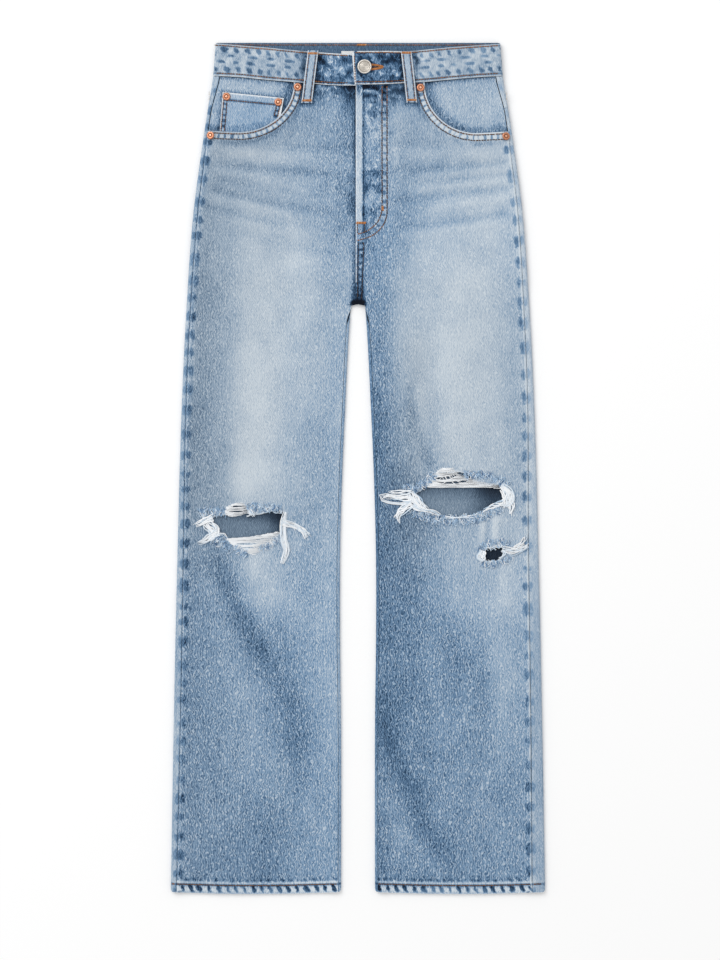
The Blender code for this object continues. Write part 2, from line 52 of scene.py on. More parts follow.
CLOTH = 1.2
BAND_CLOTH = 2.4
GAP = 0.3
SEAM_GAP = 0.5
LAYER = CLOTH + 0.5
WAIST_TOP = 510.0
BACK_BAND_BOTTOM = 470.2
YOKE_TOP = 469.3
HEM = -507.6
HEM_BOW = 2.4
HEM_FOLD = 13.0
CORNER = 4.0  # radius of the hem's corners
FLY_WIDTH = 8.0
FLY_END = 292.0
CROTCH = 196.2
CROTCH_ROUND = 1.0
WRAP_START, WRAP_END = 193.0, 170.0
SIDE_FOLD = 2.5
INNER_FOLD = 2.2
INSEAM_INSET = 3.2
SIDE_SLOPE = 30.0
INNER_SLOPE = 25.0
POCKET_REST_LOW, POCKET_REST_HIGH = 205.0, 236.0
BAND_TOP = 7.8
BAND_LIFT = LAYER + CLOTH
BAND_RIGHT_END = 26.0
BAND_LEFT_END = -6.0
LAP_FLAT, LAP_DOWN = 32.0, 62.0
LAP_EDGE = -2.6
UNDERLAP = 4.0
SEAM_RISE = 22.0
BAND_STEP = 1.2
FACING_HEM = 12.0
COIN_HEM = 8.0
COIN_HIGH = ((-162.0, 450.6), (-88.8, 443.4))
COIN_LOW_X = (-166.0, -94.5)
LOOP_WIDTH = 12.6
LOOP_ROW = LOOP_WIDTH / 2 - 2.2  # where its rows are, from its middle line
LOOP_ARCH = 1.2
LABEL_SIZE = (19.0, 24.0, 0.5)
LABEL_AT = (-10.5, 488.0)
BUTTON_AT = (7.8, 480.0)
BUTTON_RADIUS = 8.5
RIVET_RADIUS = 4.7
YOKE_MIDDLE, YOKE_SIDE = 398.0, 432.0

# y, outer edge from the middle, outseam in from it on the right side and on the left.
SIDES = np.array((
    (510, 170.4, 7.5, 8), (466, 174, 7.2, 8), (430, 180, 4.2, 4.6), (382, 187.2, 4.4, 4.8),
    (310, 196.8, 5, 5.4), (202, 205, 4.6, 6.4), (82, 211, 4.8, 7.4), (-86, 216, 6.6, 11.4),
    (-302, 220.8, 7.6, 13.2), (-510, 224.4, 6.4, 15.2),
), float)
# y, inner edge of each leg from the middle.
INNERS = np.array((
    (200, 8.2), (154, 11.4), (82, 15), (-14, 19.2), (-110, 21.6), (-206, 21.6), (-302, 20.4),
    (-510, 20.4),
), float)
# x from the middle, then the front band's top edge right and left, and its bottom edge.
BANDS = np.array((
    (0, 495.4, 499, 458.3, 459.2), (30, 496.8, 499.2, 458.8, 459.6),
    (60, 499.1, 499.4, 461.2, 461.6), (85, 501.3, 501.6, 463.3, 463.2),
    (110, 503.8, 504, 465.4, 465.6), (140, 506.2, 506.2, 468.5, 468.2),
    (176, 509.2, 508.6, 470.3, 470.3),
), float)
# Scooped pocket edges: x where each starts, x where it is lowest, y at its start, depth.
SCOOPS = {-1: (76.8, 142.8, 461.0, 58.4), 1: (79.8, 141.8, 461.6, 60.0)}
SCOOP_RISE = 0.04
# Soft swells of the front: a line's two ends, reach, rise.
SWELLS = (
    (-120, 320, -134, 60, 46, 1.7), (-62, 230, -70, -20, 30, 0.9), (-155, -112, -80, -265, 24, 1.5),
    (-92, -300, -122, -470, 38, 1.5), (118, 300, 112, 50, 46, 1.8), (62, 170, 76, -110, 30, 0.9),
    (84, -120, 152, -255, 26, 1.3), (126, -310, 108, -470, 38, 1.6),
)
RIVETS = (
    (-72.2, 456.4, 0), (-157.4, 445.0, 0), (-95.4, 438.6, 0), (-176.4, 398.2, -14),
    (75.0, 455.8, 0), (177.0, 397.4, 14),
)
# Front loops: x and y of the middle of the low end, then of the high end.
FRONT_LOOPS = {-1: (-61.5, 437.4, -53.7, 500.0), 1: (64.5, 438.0, 57.6, 498.6)}
BACK_LOOPS = (
    ("right", -118.0, 443.0, -114.0, 508.0),
    ("centre", 4.5, 443.0, 4.5, 508.0),
    ("left", 118.0, 443.0, 114.0, 508.0),
)
BACK_POCKET = np.array([(34, 386), (50, 262), (98, 240), (150, 262), (160, 396)], float)

# The rips, as outlines of what is missing from the front. The white threads lie across them.
RIPS = {
    "right_knee": (
        (-177, -61), (-166, -75), (-157, -84.5), (-146, -86), (-130, -85), (-112, -81),
        (-93.5, -77), (-90, -66), (-89, -53), (-100, -51), (-118, -55), (-129, -53),
        (-133, -46), (-146, -45), (-157, -48), (-163, -56),
    ),
    "left_knee": (
        (69, -33), (75, -42), (84, -49), (97, -54), (112, -57.5), (128, -57.5),
        (148, -52), (160, -46), (170, -39), (178, -30), (176, -21), (168, -20),
        (152, -21), (139, -17), (136, -9), (124, -5), (106, -5), (92, -8),
        (84, -17), (77, -25),
    ),
    "left_shin": (
        (148, -99), (151.5, -106), (156, -111), (167, -109.5), (172.5, -104),
        (176, -96), (161, -95.5),
    ),
}
RIPPED = {-1: ("right_knee",), 1: ("left_knee", "left_shin")}

# ---- Curves ----


def smooth(low, high, value):
    """0 up to low, 1 from high on, and a soft step between them."""
    t = np.clip((value - low) / (high - low), 0, 1)
    return t * t * (3 - 2 * t)


def fall(low, high, value):
    """1 up to low, 0 from high on, and a soft step between them."""
    return 1 - smooth(low, high, value)


def near(value, middle, reach):
    return np.exp(-(((value - middle) / reach) ** 2))


def mix(a, b, t):
    return a + (b - a) * t


def curve(table, column):
    """A function that passes smoothly through a column of the table, by its first column, and
    goes straight on past its ends."""
    xs, ys = table[np.argsort(table[:, 0])][:, (0, column)].T
    steps = np.diff(ys) / np.diff(xs)
    slopes = np.concatenate([steps[:1], (steps[1:] + steps[:-1]) / 2, steps[-1:]])

    def value(x):
        x = np.asarray(x, float)
        inside = np.clip(x, xs[0], xs[-1])
        i = np.clip(np.searchsorted(xs, inside, "right") - 1, 0, len(xs) - 2)
        width = xs[i + 1] - xs[i]
        t = (inside - xs[i]) / width
        start = (2 * t + 1) * (1 - t) ** 2 * ys[i] + t * (1 - t) ** 2 * width * slopes[i]
        end = t * t * (3 - 2 * t) * ys[i + 1] + t * t * (t - 1) * width * slopes[i + 1]
        past = np.where(x < xs[0], slopes[0], slopes[-1]) * (x - inside)
        return start + end + past

    return value


def by_side(table, right, left):
    return {-1: curve(table, right), 1: curve(table, left)}


outer_edge, half_gap = curve(SIDES, 1), curve(INNERS, 1)
side_inset = by_side(SIDES, 2, 3)
band_tops, band_bottoms = by_side(BANDS, 1, 2), by_side(BANDS, 3, 4)


def band_top(side, x):
    return band_tops[side](abs(x))


def band_bottom(side, x):
    return band_bottoms[side](abs(x))


def between(table, i, j, s, t):
    """A table's values, part of the way from its cells i, j to the next ones."""
    low = mix(table[i, j], table[i + 1, j], s)
    return mix(low, mix(table[i, j + 1], table[i + 1, j + 1], s), t)


def lumps(x, y, size, seed):
    """Smooth noise from -1 to 1, whose lumps are about that size."""
    table = np.random.default_rng(seed).uniform(-1, 1, (LUMPS, LUMPS))
    u, v = np.asarray(x) / size, np.asarray(y) / size
    i, j = np.floor(u).astype(int), np.floor(v).astype(int)
    s, t = smooth(0, 1, u - i), smooth(0, 1, v - j)
    return between(np.pad(table, (0, 1), "wrap"), i % LUMPS, j % LUMPS, s, t)


def beside(x, y, line, bow=0.0):
    """How far each point is from a line between two ends, whose middle bows to the left."""
    x0, y0, x1, y1 = line
    dx, dy = x1 - x0, y1 - y0
    length = math.hypot(dx, dy)
    along = ((x - x0) * dx + (y - y0) * dy) / length
    across = ((y - y0) * dx - (x - x0) * dy) / length
    t = np.clip(along / length, 0, 1)
    return np.hypot(across - 4 * bow * t * (1 - t), along - t * length)


def rounded(points, step=1.5, closed=False):
    """A smooth line through these points, as points about a step apart."""
    p = np.array(points, float)
    if closed:
        p = np.vstack([p[-1:], p, p[:2]])
    else:
        p = np.vstack([2 * p[0] - p[1], p, 2 * p[-1] - p[-2]])
    found = []
    for a, b, c, d in zip(p, p[1:], p[2:], p[3:]):
        count = max(1, round(float(np.linalg.norm(c - b)) / step))
        t = (np.arange(count) / count)[:, None]
        found.append(
            0.5 * (2 * b + (c - a) * t + (2 * a - 5 * b + 4 * c - d) * t**2
                   + (3 * b - a - 3 * c + d) * t**3)
        )
    found.append(p[-2][None])
    return np.vstack(found)


def lengths(path):
    return np.concatenate([[0], np.cumsum(np.linalg.norm(np.diff(path, axis=0), axis=1))])


def moved(path, out):
    """A plan line moved sideways, to the left of the way that it runs."""
    way = np.gradient(path, axis=0)
    way /= np.linalg.norm(way, axis=1)[:, None]
    return path + out * np.stack([-way[:, 1], way[:, 0]], 1)


def ways(path, s, at):
    """The unit way of a line at distances along it, whose own points are at s."""
    way = np.array([np.interp(at, s, w) for w in np.gradient(path, axis=0).T])
    return way / np.maximum(np.linalg.norm(way, axis=0), 1e-9)


def track(path, x, y, reach):
    """(how far each point is from a line, up to reach, and how far along the line it is)."""
    shape, x, y = np.shape(x), np.ravel(x), np.ravel(y)
    away, along = np.full(x.shape, float(reach)), np.zeros(x.shape)
    low, high = path.min(0) - reach, path.max(0) + reach
    close = np.nonzero((x > low[0]) & (x < high[0]) & (y > low[1]) & (y < high[1]))[0]
    run, start = np.diff(path, axis=0), lengths(path)
    size = np.maximum(np.linalg.norm(run, axis=1), 1e-6)
    for part in np.array_split(close, max(1, len(close) * len(run) // AT_ONCE)):
        rel = np.stack([x[part], y[part]], 1)[:, None] - path[None, :-1]
        t = np.clip((rel * run).sum(-1) / size**2, 0, 1)
        gap = np.linalg.norm(rel - t[..., None] * run, axis=-1)
        k = gap.argmin(1)
        row = np.arange(len(part))
        away[part] = np.minimum(reach, gap[row, k])
        along[part] = start[k] + t[row, k] * size[k]
    return away.reshape(shape), along.reshape(shape)


def inside(outline, x, y):
    """Whether each point lies in a closed outline."""
    found = np.zeros(x.shape, bool)
    for (ax, ay), (bx, by) in zip(outline, np.roll(outline, -1, axis=0)):
        crosses = (ay > y) != (by > y)
        found ^= crosses & (x < ax + (bx - ax) * (y - ay) / (by - ay + 1e-12))
    return found


# ---- The form, as the CAD has it ----


def ground(y):
    return LAYER * smooth(POCKET_REST_LOW, POCKET_REST_HIGH, y)


def wrap(y):
    return smooth(-WRAP_START, -WRAP_END, -y)


def crotch_edge(y, middle, leg):
    t = np.clip((CROTCH + CROTCH_ROUND - y) / (2 * CROTCH_ROUND), 0, 1)
    return mix(middle, leg, np.where(t < 1, np.sin(t * math.pi / 2) ** 1.5, 1.0))


def outseam(side, y):
    return outer_edge(y) - side_inset[side](y)


def beyond_scoop(side, x, y):
    x_start, x_low, y_start, depth = SCOOPS[side]
    width = x_low - x_start
    across = np.minimum(0, side * x - x_low) / width
    rise = SCOOP_RISE * np.maximum(0, side * x - x_low)
    down = (y - rise - y_start) / depth
    return (np.hypot(across, np.minimum(0, down)) - 1) * (width + depth) / 2


def scoop_edge(side, x, outside=0.0):
    x_start, x_low, y_start, depth = SCOOPS[side]
    across = np.clip((x_low - side * x) / (x_low - x_start + outside), 0, 1)
    rise = SCOOP_RISE * np.maximum(0, side * x - x_low)
    return y_start - (depth + outside) * np.sqrt(1 - across**2) + rise


def scoop_line(side, outside=0.0):
    """The pocket's edge from its start to the outseam, or the line that far below it."""
    x_start, x_low, y_start, depth = SCOOPS[side]
    angle = np.linspace(0, math.pi / 2, 40)
    x = x_low - (x_low - x_start + outside) * np.cos(angle)
    y = y_start - (depth + outside) * np.sin(angle)
    ends = np.linspace(x_low, outseam(side, y[-1]), 12)[1:]
    x = np.concatenate([x, ends])
    y = np.concatenate([y, y[-1] + SCOOP_RISE * (ends - x_low)])
    return np.stack([side * x, y], 1)


def pocket_layer(side, x, y):
    return fall(FACING_HEM + 4, FACING_HEM + 34, beyond_scoop(side, x, y))


def coin_layer(x, y):
    low = fall(COIN_HEM + 4, COIN_HEM + 26, beyond_scoop(-1, x, y))
    return low * smooth(-184, -168, x) * fall(-88, -68, x)


def swells(x, y):
    return sum(rise * fall(0, reach, beside(x, y, line)) for *line, reach, rise in SWELLS)


def band_face(side, x):
    if side < 0:
        return BAND_TOP + 0 * x
    return BAND_TOP + BAND_LIFT * fall(LAP_FLAT, LAP_DOWN, x)


def lower_front(side, x, y):
    edge = 2 * SIDE_FOLD - LAYER - CLOTH
    inner = 2 * INNER_FOLD - LAYER - CLOTH
    height = ground(y) + LAYER + CLOTH + swells(x, y)
    height += edge * fall(0, SIDE_SLOPE, outer_edge(y) - abs(x))
    height += inner * wrap(y) * fall(0, INNER_SLOPE, abs(x) - half_gap(y))
    if side > 0:
        height += LAYER * fall(8, 40, x) * smooth(140, CROTCH - 6, y)
    bottom = band_bottom(side, x)
    meet = band_face(side, x) - BAND_STEP - LAYER * pocket_layer(side, x, y)
    return mix(height, meet, smooth(bottom - SEAM_RISE, bottom, y))


def front_top(side, x, y):
    height = lower_front(side, x, y) + LAYER * pocket_layer(side, x, y)
    if side < 0:
        height += (LAYER + GAP) * coin_layer(x, y)
    return height


def inner_run(y):
    length = math.pi * INNER_FOLD + INSEAM_INSET - INNER_FOLD
    turned_length = wrap(y) * length
    flat_length = length - turned_length
    angle = np.minimum(math.pi / 2, turned_length / INNER_FOLD)
    edge = crotch_edge(y, GAP / 2, half_gap(y))
    start = edge + flat_length + INNER_FOLD * np.sin(angle)
    return start, turned_length, flat_length


def back_section(side, y, stretch, t):
    """(distance from the middle, height) of the back's outer face. A stretch is 0 for the side
    fold, 1 for the floor and 2 for the inner fold, and t runs through it from 0 to 1."""
    base = ground(y)
    outer = outer_edge(y)
    seam = outseam(side, y)
    strip = outer - SIDE_FOLD - seam
    gone = t * (strip + math.pi * SIDE_FOLD)
    angle = np.clip((gone - strip) / SIDE_FOLD, 0, math.pi)
    side_x = seam + np.minimum(gone, strip) + SIDE_FOLD * np.sin(angle)
    side_z = base + SIDE_FOLD * (1 + np.cos(angle))
    flat_end, turned_length, flat_length = inner_run(y)
    gone = t * (flat_length + turned_length)
    angle = np.clip((gone - flat_length) / INNER_FOLD, 0, math.pi)
    past = np.maximum(0.0, gone - flat_length - math.pi * INNER_FOLD)
    inner_x = flat_end - np.minimum(gone, flat_length) - INNER_FOLD * np.sin(angle) + past
    inner_z = base + INNER_FOLD * (1 - np.cos(angle))
    x = np.choose(stretch, [side_x, mix(outer - SIDE_FOLD, flat_end, t), inner_x])
    return x, np.choose(stretch, [side_z, base + 0 * t, inner_z])


def yoke_seam(x):
    return mix(YOKE_MIDDLE, YOKE_SIDE, abs(x) / outer_edge(YOKE_SIDE))


def hem_line(x):
    low, high = half_gap(HEM), outer_edge(HEM)
    t = (2 * abs(x) - low - high) / (high - low)
    return HEM - HEM_BOW * (1 - np.minimum(1.0, t * t))


def bend_row(y, x, low_line, high_line, low, high):
    y = y + (high_line(x) - high) * smooth(high - 170, high, y)
    return y + (low_line(x) - low) * smooth(-low - 60, -low, -y)


def front_limits(side, y):
    turning = np.sin(math.pi * wrap(y))
    leg = half_gap(y) + wrap(y) * (INSEAM_INSET + SEAM_GAP) + turning
    inner = crotch_edge(y, LAP_EDGE if side > 0 else -UNDERLAP, leg)
    ends = side * inner, side * (outseam(side, y) - SEAM_GAP / 2)
    return ends if side > 0 else ends[::-1]


# ---- Folds, wash and painted light and shade ----

# Creases of the front: a line's two ends, how far its middle bows to the left of its way, reach,
# rise in mm and how much paler: wash on the hips' whiskers, painted light and shade elsewhere.
FRONT_CREASES = (
    (-178, 382, -60, 372, 0, 6, 0.5, 0.05), (-160, 364, -36, 353, 0, 5, -0.6, -0.09),
    (-168, 358, -64, 332, 3, 4.5, 0.5, 0.05), (-166, 346, -110, 332, 0, 4, -0.4, -0.04),
    (-172, 334, -36, 308, -3, 5, -0.6, -0.08), (-178, 326, -84, 303, 2, 5, 0.5, 0.05),
    (-180, 314, -90, 290, 0, 5, -0.4, -0.06), (-184, 304, -60, 279, 3, 6, 0.4, 0.03),
    (-150, 284, -30, 256, 0, 7, -0.4, -0.04), (-80, 385, -10, 386, 0, 6, -0.4, -0.05),
    (62, 378, 176, 375, 0, 6, 0.4, 0.04), (46, 358, 176, 367, -2, 5, -0.6, -0.06),
    (72, 349, 180, 360, 0, 4.5, 0.5, 0.04), (110, 346, 182, 353, 0, 3.5, -0.3, -0.04),
    (44, 319, 176, 335, 2, 5, -0.6, -0.06), (76, 334, 176, 345, 0, 5, 0.5, 0.05),
    (88, 311, 182, 326, 0, 5, 0.5, 0.05), (56, 290, 176, 306, -2, 5.5, -0.5, -0.07),
    (54, 277, 186, 296, 0, 5, 0.4, 0.02), (50, 390, 102, 387, 0, 5, -0.4, -0.03),
    (-86, -60, -48, -34, 2, 6, 0.6, 0.03), (-84, -84, -44, -104, -2, 6, 0.5, 0.02),
    (58, -44, 32, -66, 0, 6, 0.5, 0.02), (176, -62, 196, -84, 0, 6, 0.5, 0.02),
    (150, -62, 146, -90, 0, 5, 0.5, 0.07), (157, -64, 154, -88, 0, 3.5, -0.4, -0.05),
    (166, -60, 163, -84, 0, 5, 0.5, 0.07), (62, 96, 86, 8, -4, 7, -0.5, -0.08),
    (74, 96, 98, 12, -4, 8, 0.5, 0.03),
)
# Long folds of the legs: the points of a line, reach, rise and how much paler, which is painted
# shade in the valleys and painted light on the ridges.
LEG_FOLDS = (
    (
        ((-186, -88), (-166, -122), (-150, -160), (-132, -200), (-106, -244), (-90, -290)),
        13, -0.9, -0.12,
    ),
    (((-96, -240), (-80, -286), (-72, -340), (-76, -400)), 16, -0.6, -0.11),
    (((-118, -202), (-106, -224), (-94, -250)), 3.5, -0.5, -0.05),
    (((-172, -160), (-158, -212), (-138, -270), (-116, -330), (-92, -384)), 16, 0.8, 0.03),
    (((94, -176), (112, -210), (142, -246), (150, -286), (146, -330)), 15, -0.7, -0.05),
    (((26, -256), (40, -330), (56, -378), (76, -416), (102, -484)), 13, -0.6, -0.11),
    (((164, -140), (178, -210), (172, -290)), 16, 0.7, 0.02),
)
# Wash, and painted shade beside the band, loops and fly: a line's two ends, reach, how much paler.
FRONT_WASH_AND_SHADE = (
    (-116, 300, -121, -20, 42, 0.17), (-62, 250, -62, 90, 28, 0.06),
    (-110, 304, -104, 262, 24, -0.06), (-80, 262, -62, 215, 24, 0.04),
    (-200, 165, -202, 110, 9, 0.06), (-120, -92, -110, -150, 25, 0.14),
    (-126, -112, -128, -126, 10, 0.05), (-180, -140, -164, -160, 12, 0.06),
    (-92, -205, -64, -320, 24, -0.07), (-112, -420, -118, -490, 30, -0.06),
    (-150, 386, -60, 386, 14, 0.04), (-166, 366, -60, 360, 22, 0.04),
    (-134, 130, -128, 0, 22, 0.05), (-18, 70, -20, -60, 8, 0.06), (124, 262, 124, 20, 50, 0.15),
    (104, 150, 112, 10, 24, 0.07), (76, 270, 66, 100, 24, 0.08), (50, 220, 50, 20, 13, 0.05),
    (22, 90, 24, 20, 6, -0.06), (76, 50, 72, -4, 12, 0.06), (44, 420, 42, 320, 10, 0.05),
    (150, 390, 176, 330, 30, 0.04), (160, 100, 165, 20, 16, 0.03), (138, -70, 152, -150, 40, 0.07),
    (104, -84, 112, -150, 24, 0.07), (76, -60, 90, -60, 9, -0.06), (84, -110, 84, -240, 16, 0.05),
    (94, -262, 100, -330, 15, 0.05), (170, -220, 170, -330, 14, 0.04),
    (25, -415, 28, -480, 9, -0.06), (-8, 456, -8, 380, 13, -0.08), (52, 452, 46, 446, 6, -0.26),
    (84, 330, 88, 470, 12, 0.02), (-150, 374, -95, 372, 12, 0.05), (-20, 330, -20, 285, 8, -0.06),
    (-128, -178, -112, -215, 8, -0.05), (-110, -296, -88, -332, 16, -0.05),
    (-142, 0, -140, -28, 14, 0.05), (70, 336, 130, 330, 14, 0.04), (84, 276, 150, 258, 16, -0.045),
    (176, -112, 175, -158, 9, 0.05), (28, -292, 40, -305, 10, 0.045),
    (60, -366, 84, -392, 12, -0.05), (98, -448, 106, -476, 12, -0.07),
    (40, -416, 54, -452, 10, 0.05), (70, 84, 74, 30, 8, 0.05), (-158, 391, -125, 389, 6, -0.05),
    (150, -66, 150, -86, 3, 0.05), (164, -62, 165, -90, 3.5, 0.08), (176, -62, 177, -84, 2.5, 0.04),
    (-46, 456, -38, 455, 2.4, 0.22), (-35, 453, -32, 448, 2.2, 0.16),
    (-31, 457, -27, 457, 2.2, 0.26), (-13, 457, -13, 430, 6, -0.12),
    (-10, 454, -9, 440, 3.5, -0.13), (-48, 448, -42, 434, 7, -0.08), (-10, 352, -10, 344, 4, -0.13),
    (-9, 327, -9, 306, 4.5, -0.20), (-22, 352, -18, 334, 6, -0.08), (9, 451, 16, 451, 2.2, 0.34),
    (10, 455, 22, 455, 2.4, -0.24), (9, 445, 22, 446, 2.6, -0.22), (20, 441, 21, 436, 2.6, -0.14),
    (36, 454, 46, 454, 3, -0.14), (33, 447, 33, 424, 4.5, -0.15), (41, 441, 43, 436, 4, -0.15),
    (46, 446, 49, 446, 2.5, 0.14), (13, 360, 25, 360, 3, 0.18), (22, 309, 25, 308, 4, 0.15),
    (10, 316, 13, 300, 3.5, 0.17), (25, 300, 26, 299, 3.5, 0.16), (14, 394, 25, 382, 6, 0.06),
)
# Blotches of the fly and of the waistband, in the same numbers.
FLY_BLOTCHES = (
    (10, 455, 26, 455, 3.2, -0.22), (11, 450, 25, 450, 1.4, 0.16), (12, 444, 24, 442, 4, -0.12),
    (14, 438, 12, 432, 3, 0.14), (14, 428, 25, 428, 4.5, -0.24), (11, 416, 24, 404, 7, 0.12),
    (22, 409, 23, 406, 2, -0.12), (12, 390, 24, 366, 8, 0.06), (20, 396, 19, 392, 3, -0.08),
    (10, 352, 25, 350, 6, -0.20), (10, 338, 26, 336, 5, -0.24), (20, 345, 23, 343, 1.6, 0.20),
    (11, 324, 24, 322, 5, 0.08), (9, 310, 25, 308, 5, -0.24), (14, 299, 16, 294, 4, 0.06),
    (20, 301, 19, 298, 2.4, -0.12), (1, 453, 1, 448, 2.2, -0.20), (31.8, 456, 31.8, 442, 3, -0.20),
    (42, 430, 41, 427, 2.4, -0.08), (40, 406, 40, 402, 2.4, -0.08), (45, 388, 45, 362, 2, 0.08),
    (38, 456, 52, 456, 1.2, 0.14), (40, 447, 50, 446, 1.6, 0.12), (14, 272, 16, 262, 4, -0.08),
    (30, 296, 38, 300, 4, 0.03),
)
BAND_BLOTCHES = (
    (-40, 494, -27, 479, 2.2, 0.20), (-27, 479, -17, 473, 2.0, 0.18),
    (-36, 469, -38, 478, 1.7, 0.15), (-22, 492, -30, 490, 3, 0.08),
    (-47, 494, -41, 484, 4.5, -0.24), (-32, 476, -31, 478, 3, -0.14),
    (-13, 475, -15, 469, 3.2, -0.22), (-12, 490, -14, 486, 3, -0.14),
    (-64, 496, -64, 480, 4.5, -0.24), (14, 495, 25, 485, 2.2, 0.20), (28, 474, 22, 480, 2, 0.12),
    (40, 470, 42, 480, 1.8, 0.14), (46, 472, 50, 471, 2, 0.20), (33, 480, 38, 481, 1.6, 0.14),
    (44, 492, 50, 478, 5, -0.14), (30, 490, 38, 488, 4, -0.08), (67, 497, 72, 486, 4.5, -0.26),
    (72, 494, 80, 487, 1.8, 0.20), (66, 479, 78, 479, 2.0, -0.16), (150, 492, 163, 485, 1.4, 0.14),
    (-152, 492, -150, 486, 1.2, 0.14),
)
# The cloth's tone at the legs' edges: y, then the right leg's outer and inner edge and the left
# leg's inner and outer edge.
EDGE_TONES = np.array((
    (460, 0.56, 0.62, 0.62, 0.70), (300, 0.58, 0.64, 0.58, 0.70), (200, 0.55, 0.66, 0.58, 0.67),
    (100, 0.55, 0.66, 0.53, 0.67), (0, 0.55, 0.65, 0.46, 0.67), (-100, 0.55, 0.66, 0.46, 0.70),
    (-200, 0.53, 0.67, 0.47, 0.67), (-300, 0.54, 0.67, 0.48, 0.63), (-400, 0.54, 0.62, 0.56, 0.58),
    (-510, 0.53, 0.60, 0.54, 0.56),
), float)
outer_tones, inner_tones = by_side(EDGE_TONES, 1, 4), by_side(EDGE_TONES, 2, 3)
# Creases and wash of the back, one side of it; the other side's are mirrored and shifted a little.
BACK_CREASES = (
    (60, -52, 170, -64, 4, 6, -0.35, 0.05), (52, -78, 176, -82, -5, 6, -0.4, 0.06),
    (66, -104, 160, -112, 4, 7, -0.35, 0.05), (70, 214, 150, 226, 6, 6, -0.3, 0.05),
    (60, 190, 130, 204, 6, 6, -0.3, 0.04), (78, -300, 150, -420, 6, 14, -0.3, 0.03),
)
BACK_WASH = (
    (96, 350, 100, 270, 52, 0.13), (110, 190, 114, 10, 46, 0.10), (118, -120, 120, -200, 36, 0.06),
    (196, 300, 208, -60, 18, -0.05),
)
BACK_TONE = 0.56


def creases(table, x, y):
    """(rise, how much paler) of these creases at each point."""
    rise, paler = 0 * x, 0 * x
    for *line, bow, reach, up, pale in table:
        on = near(beside(x, y, line, bow), 0, reach)
        rise, paler = rise + up * on, paler + pale * on
    return rise, paler


def front_folds(x, y):
    """(rise, how much paler) of all the front's creases at each point."""
    rise, paler = creases(FRONT_CREASES, x, y)
    for points, reach, up, pale in LEG_FOLDS:
        line = rounded(points, 4)
        away, along = track(line, x, y, 3 * reach)
        t = along / lengths(line)[-1]
        on = near(away, 0, reach) * smooth(0, 0.2, t) * smooth(0, 0.25, 1 - t)
        rise, paler = rise + up * on, paler + pale * on
    return rise, paler


def paleness(table, x, y):
    """How much paler this table makes each point."""
    return sum(pale * near(beside(x, y, line), 0, reach) for *line, reach, pale in table)


def rip_line(name):
    return rounded(RIPS[name], 1.5, closed=True)


def rip_distance(name, x, y, reach):
    """How far each point is outside a rip, negative inside it."""
    line = rip_line(name)
    away, _ = track(line, x, y, reach)
    return np.where(inside(line[:-1], x, y), -away, away)


def hem_edge(x):
    """The hem's line with its round corners, for what is folded round the legs' edges."""
    low, high = half_gap(HEM), outer_edge(HEM)
    past = np.maximum(0, CORNER - np.minimum(abs(x) - low, high - abs(x))) / CORNER
    return hem_line(x) + CORNER * (1 - np.sqrt(1 - np.minimum(1, past) ** 2))


def hem_detail(x, y):
    """The rise of the doubled hem, with its roping."""
    up = y - hem_line(x)
    ridge = np.sin((x + 1.4 * up + 5 * lumps(x, y, 23, 8)) * TURN / 9.5)
    fold = 0.55 * fall(HEM_FOLD - 1, HEM_FOLD + 0.6, up)
    return fold + 0.22 * ridge * fall(HEM_FOLD, HEM_FOLD + 9, up)


def front_z(side, x, y):
    """The height of the front's face, with its folds, seams and unevenness."""
    z = front_top(side, x, y) + hem_detail(x, y)
    calm = smooth(0, 12, outer_edge(y) - abs(x)) * fall(440, 456, y)
    calm = calm * np.where(y < CROTCH, smooth(2, 14, abs(x) - half_gap(y)), 1)
    z += calm * front_folds(x, y)[0]
    z += calm * (0.35 * lumps(x, y, 34, 1) + 0.18 * lumps(x, y, 11, 2) + 0.08 * lumps(x, y, 5, 3))
    for name in RIPPED[side]:
        away = np.maximum(0, rip_distance(name, x, y, 14))
        z += (0.25 + 0.5 * lumps(x, y, 6, 6)) * fall(3, 12, away)
    beyond = beyond_scoop(side, x, y)
    pucker = np.sin(x * TURN / 7.4 + 2 * lumps(x, y, 9, 5))
    z += 0.2 * pucker * smooth(1, 4, beyond) * fall(9, 15, beyond)
    z -= 0.5 * fall(0, 1.6, beyond) * (beyond > -1)
    seam = outseam(side, y) - abs(x)
    z -= 0.9 * fall(0, 2.2, seam)
    if side > 0:
        fly = x - LAP_EDGE
        on = smooth(CROTCH + 4, CROTCH + 30, y)
        z += on * 0.55 * fall(FLY_WIDTH - 0.6, FLY_WIDTH + 0.8, fly) * (y > FLY_END)
        z -= on * 0.6 * fall(0, 1.4, fly)
    return z


FACE_STEP = 1.2  # of the grid that the front's height is read off
FACE_X, FACE_Y = np.arange(-228.0, 228.0, FACE_STEP), np.arange(-514.0, 476.0, FACE_STEP)


def face_heights():
    """The height of the front's face on a fine grid, whichever side is uppermost there."""
    x, y = np.meshgrid(FACE_X, FACE_Y, indexing="ij")
    return np.where(x > LAP_EDGE, front_z(1, x, y), front_z(-1, x, y))


FACE = face_heights()


def face_z(x, y):
    """The height of the front's face."""
    u = np.clip((x - FACE_X[0]) / FACE_STEP, 0, len(FACE_X) - 1.01)
    v = np.clip((y - FACE_Y[0]) / FACE_STEP, 0, len(FACE_Y) - 1.01)
    i, j = u.astype(int), v.astype(int)
    return between(FACE, i, j, u - i, v - j)


def band_z(x, y):
    """The height of the front band's face."""
    ways = [(band_bottom(side, x), band_top(side, x), band_face(side, x)) for side in (1, -1)]
    low, high, face = np.where(x > BAND_LEFT_END, *ways)
    return face + band_pillow((y - low) / (high - low), x)


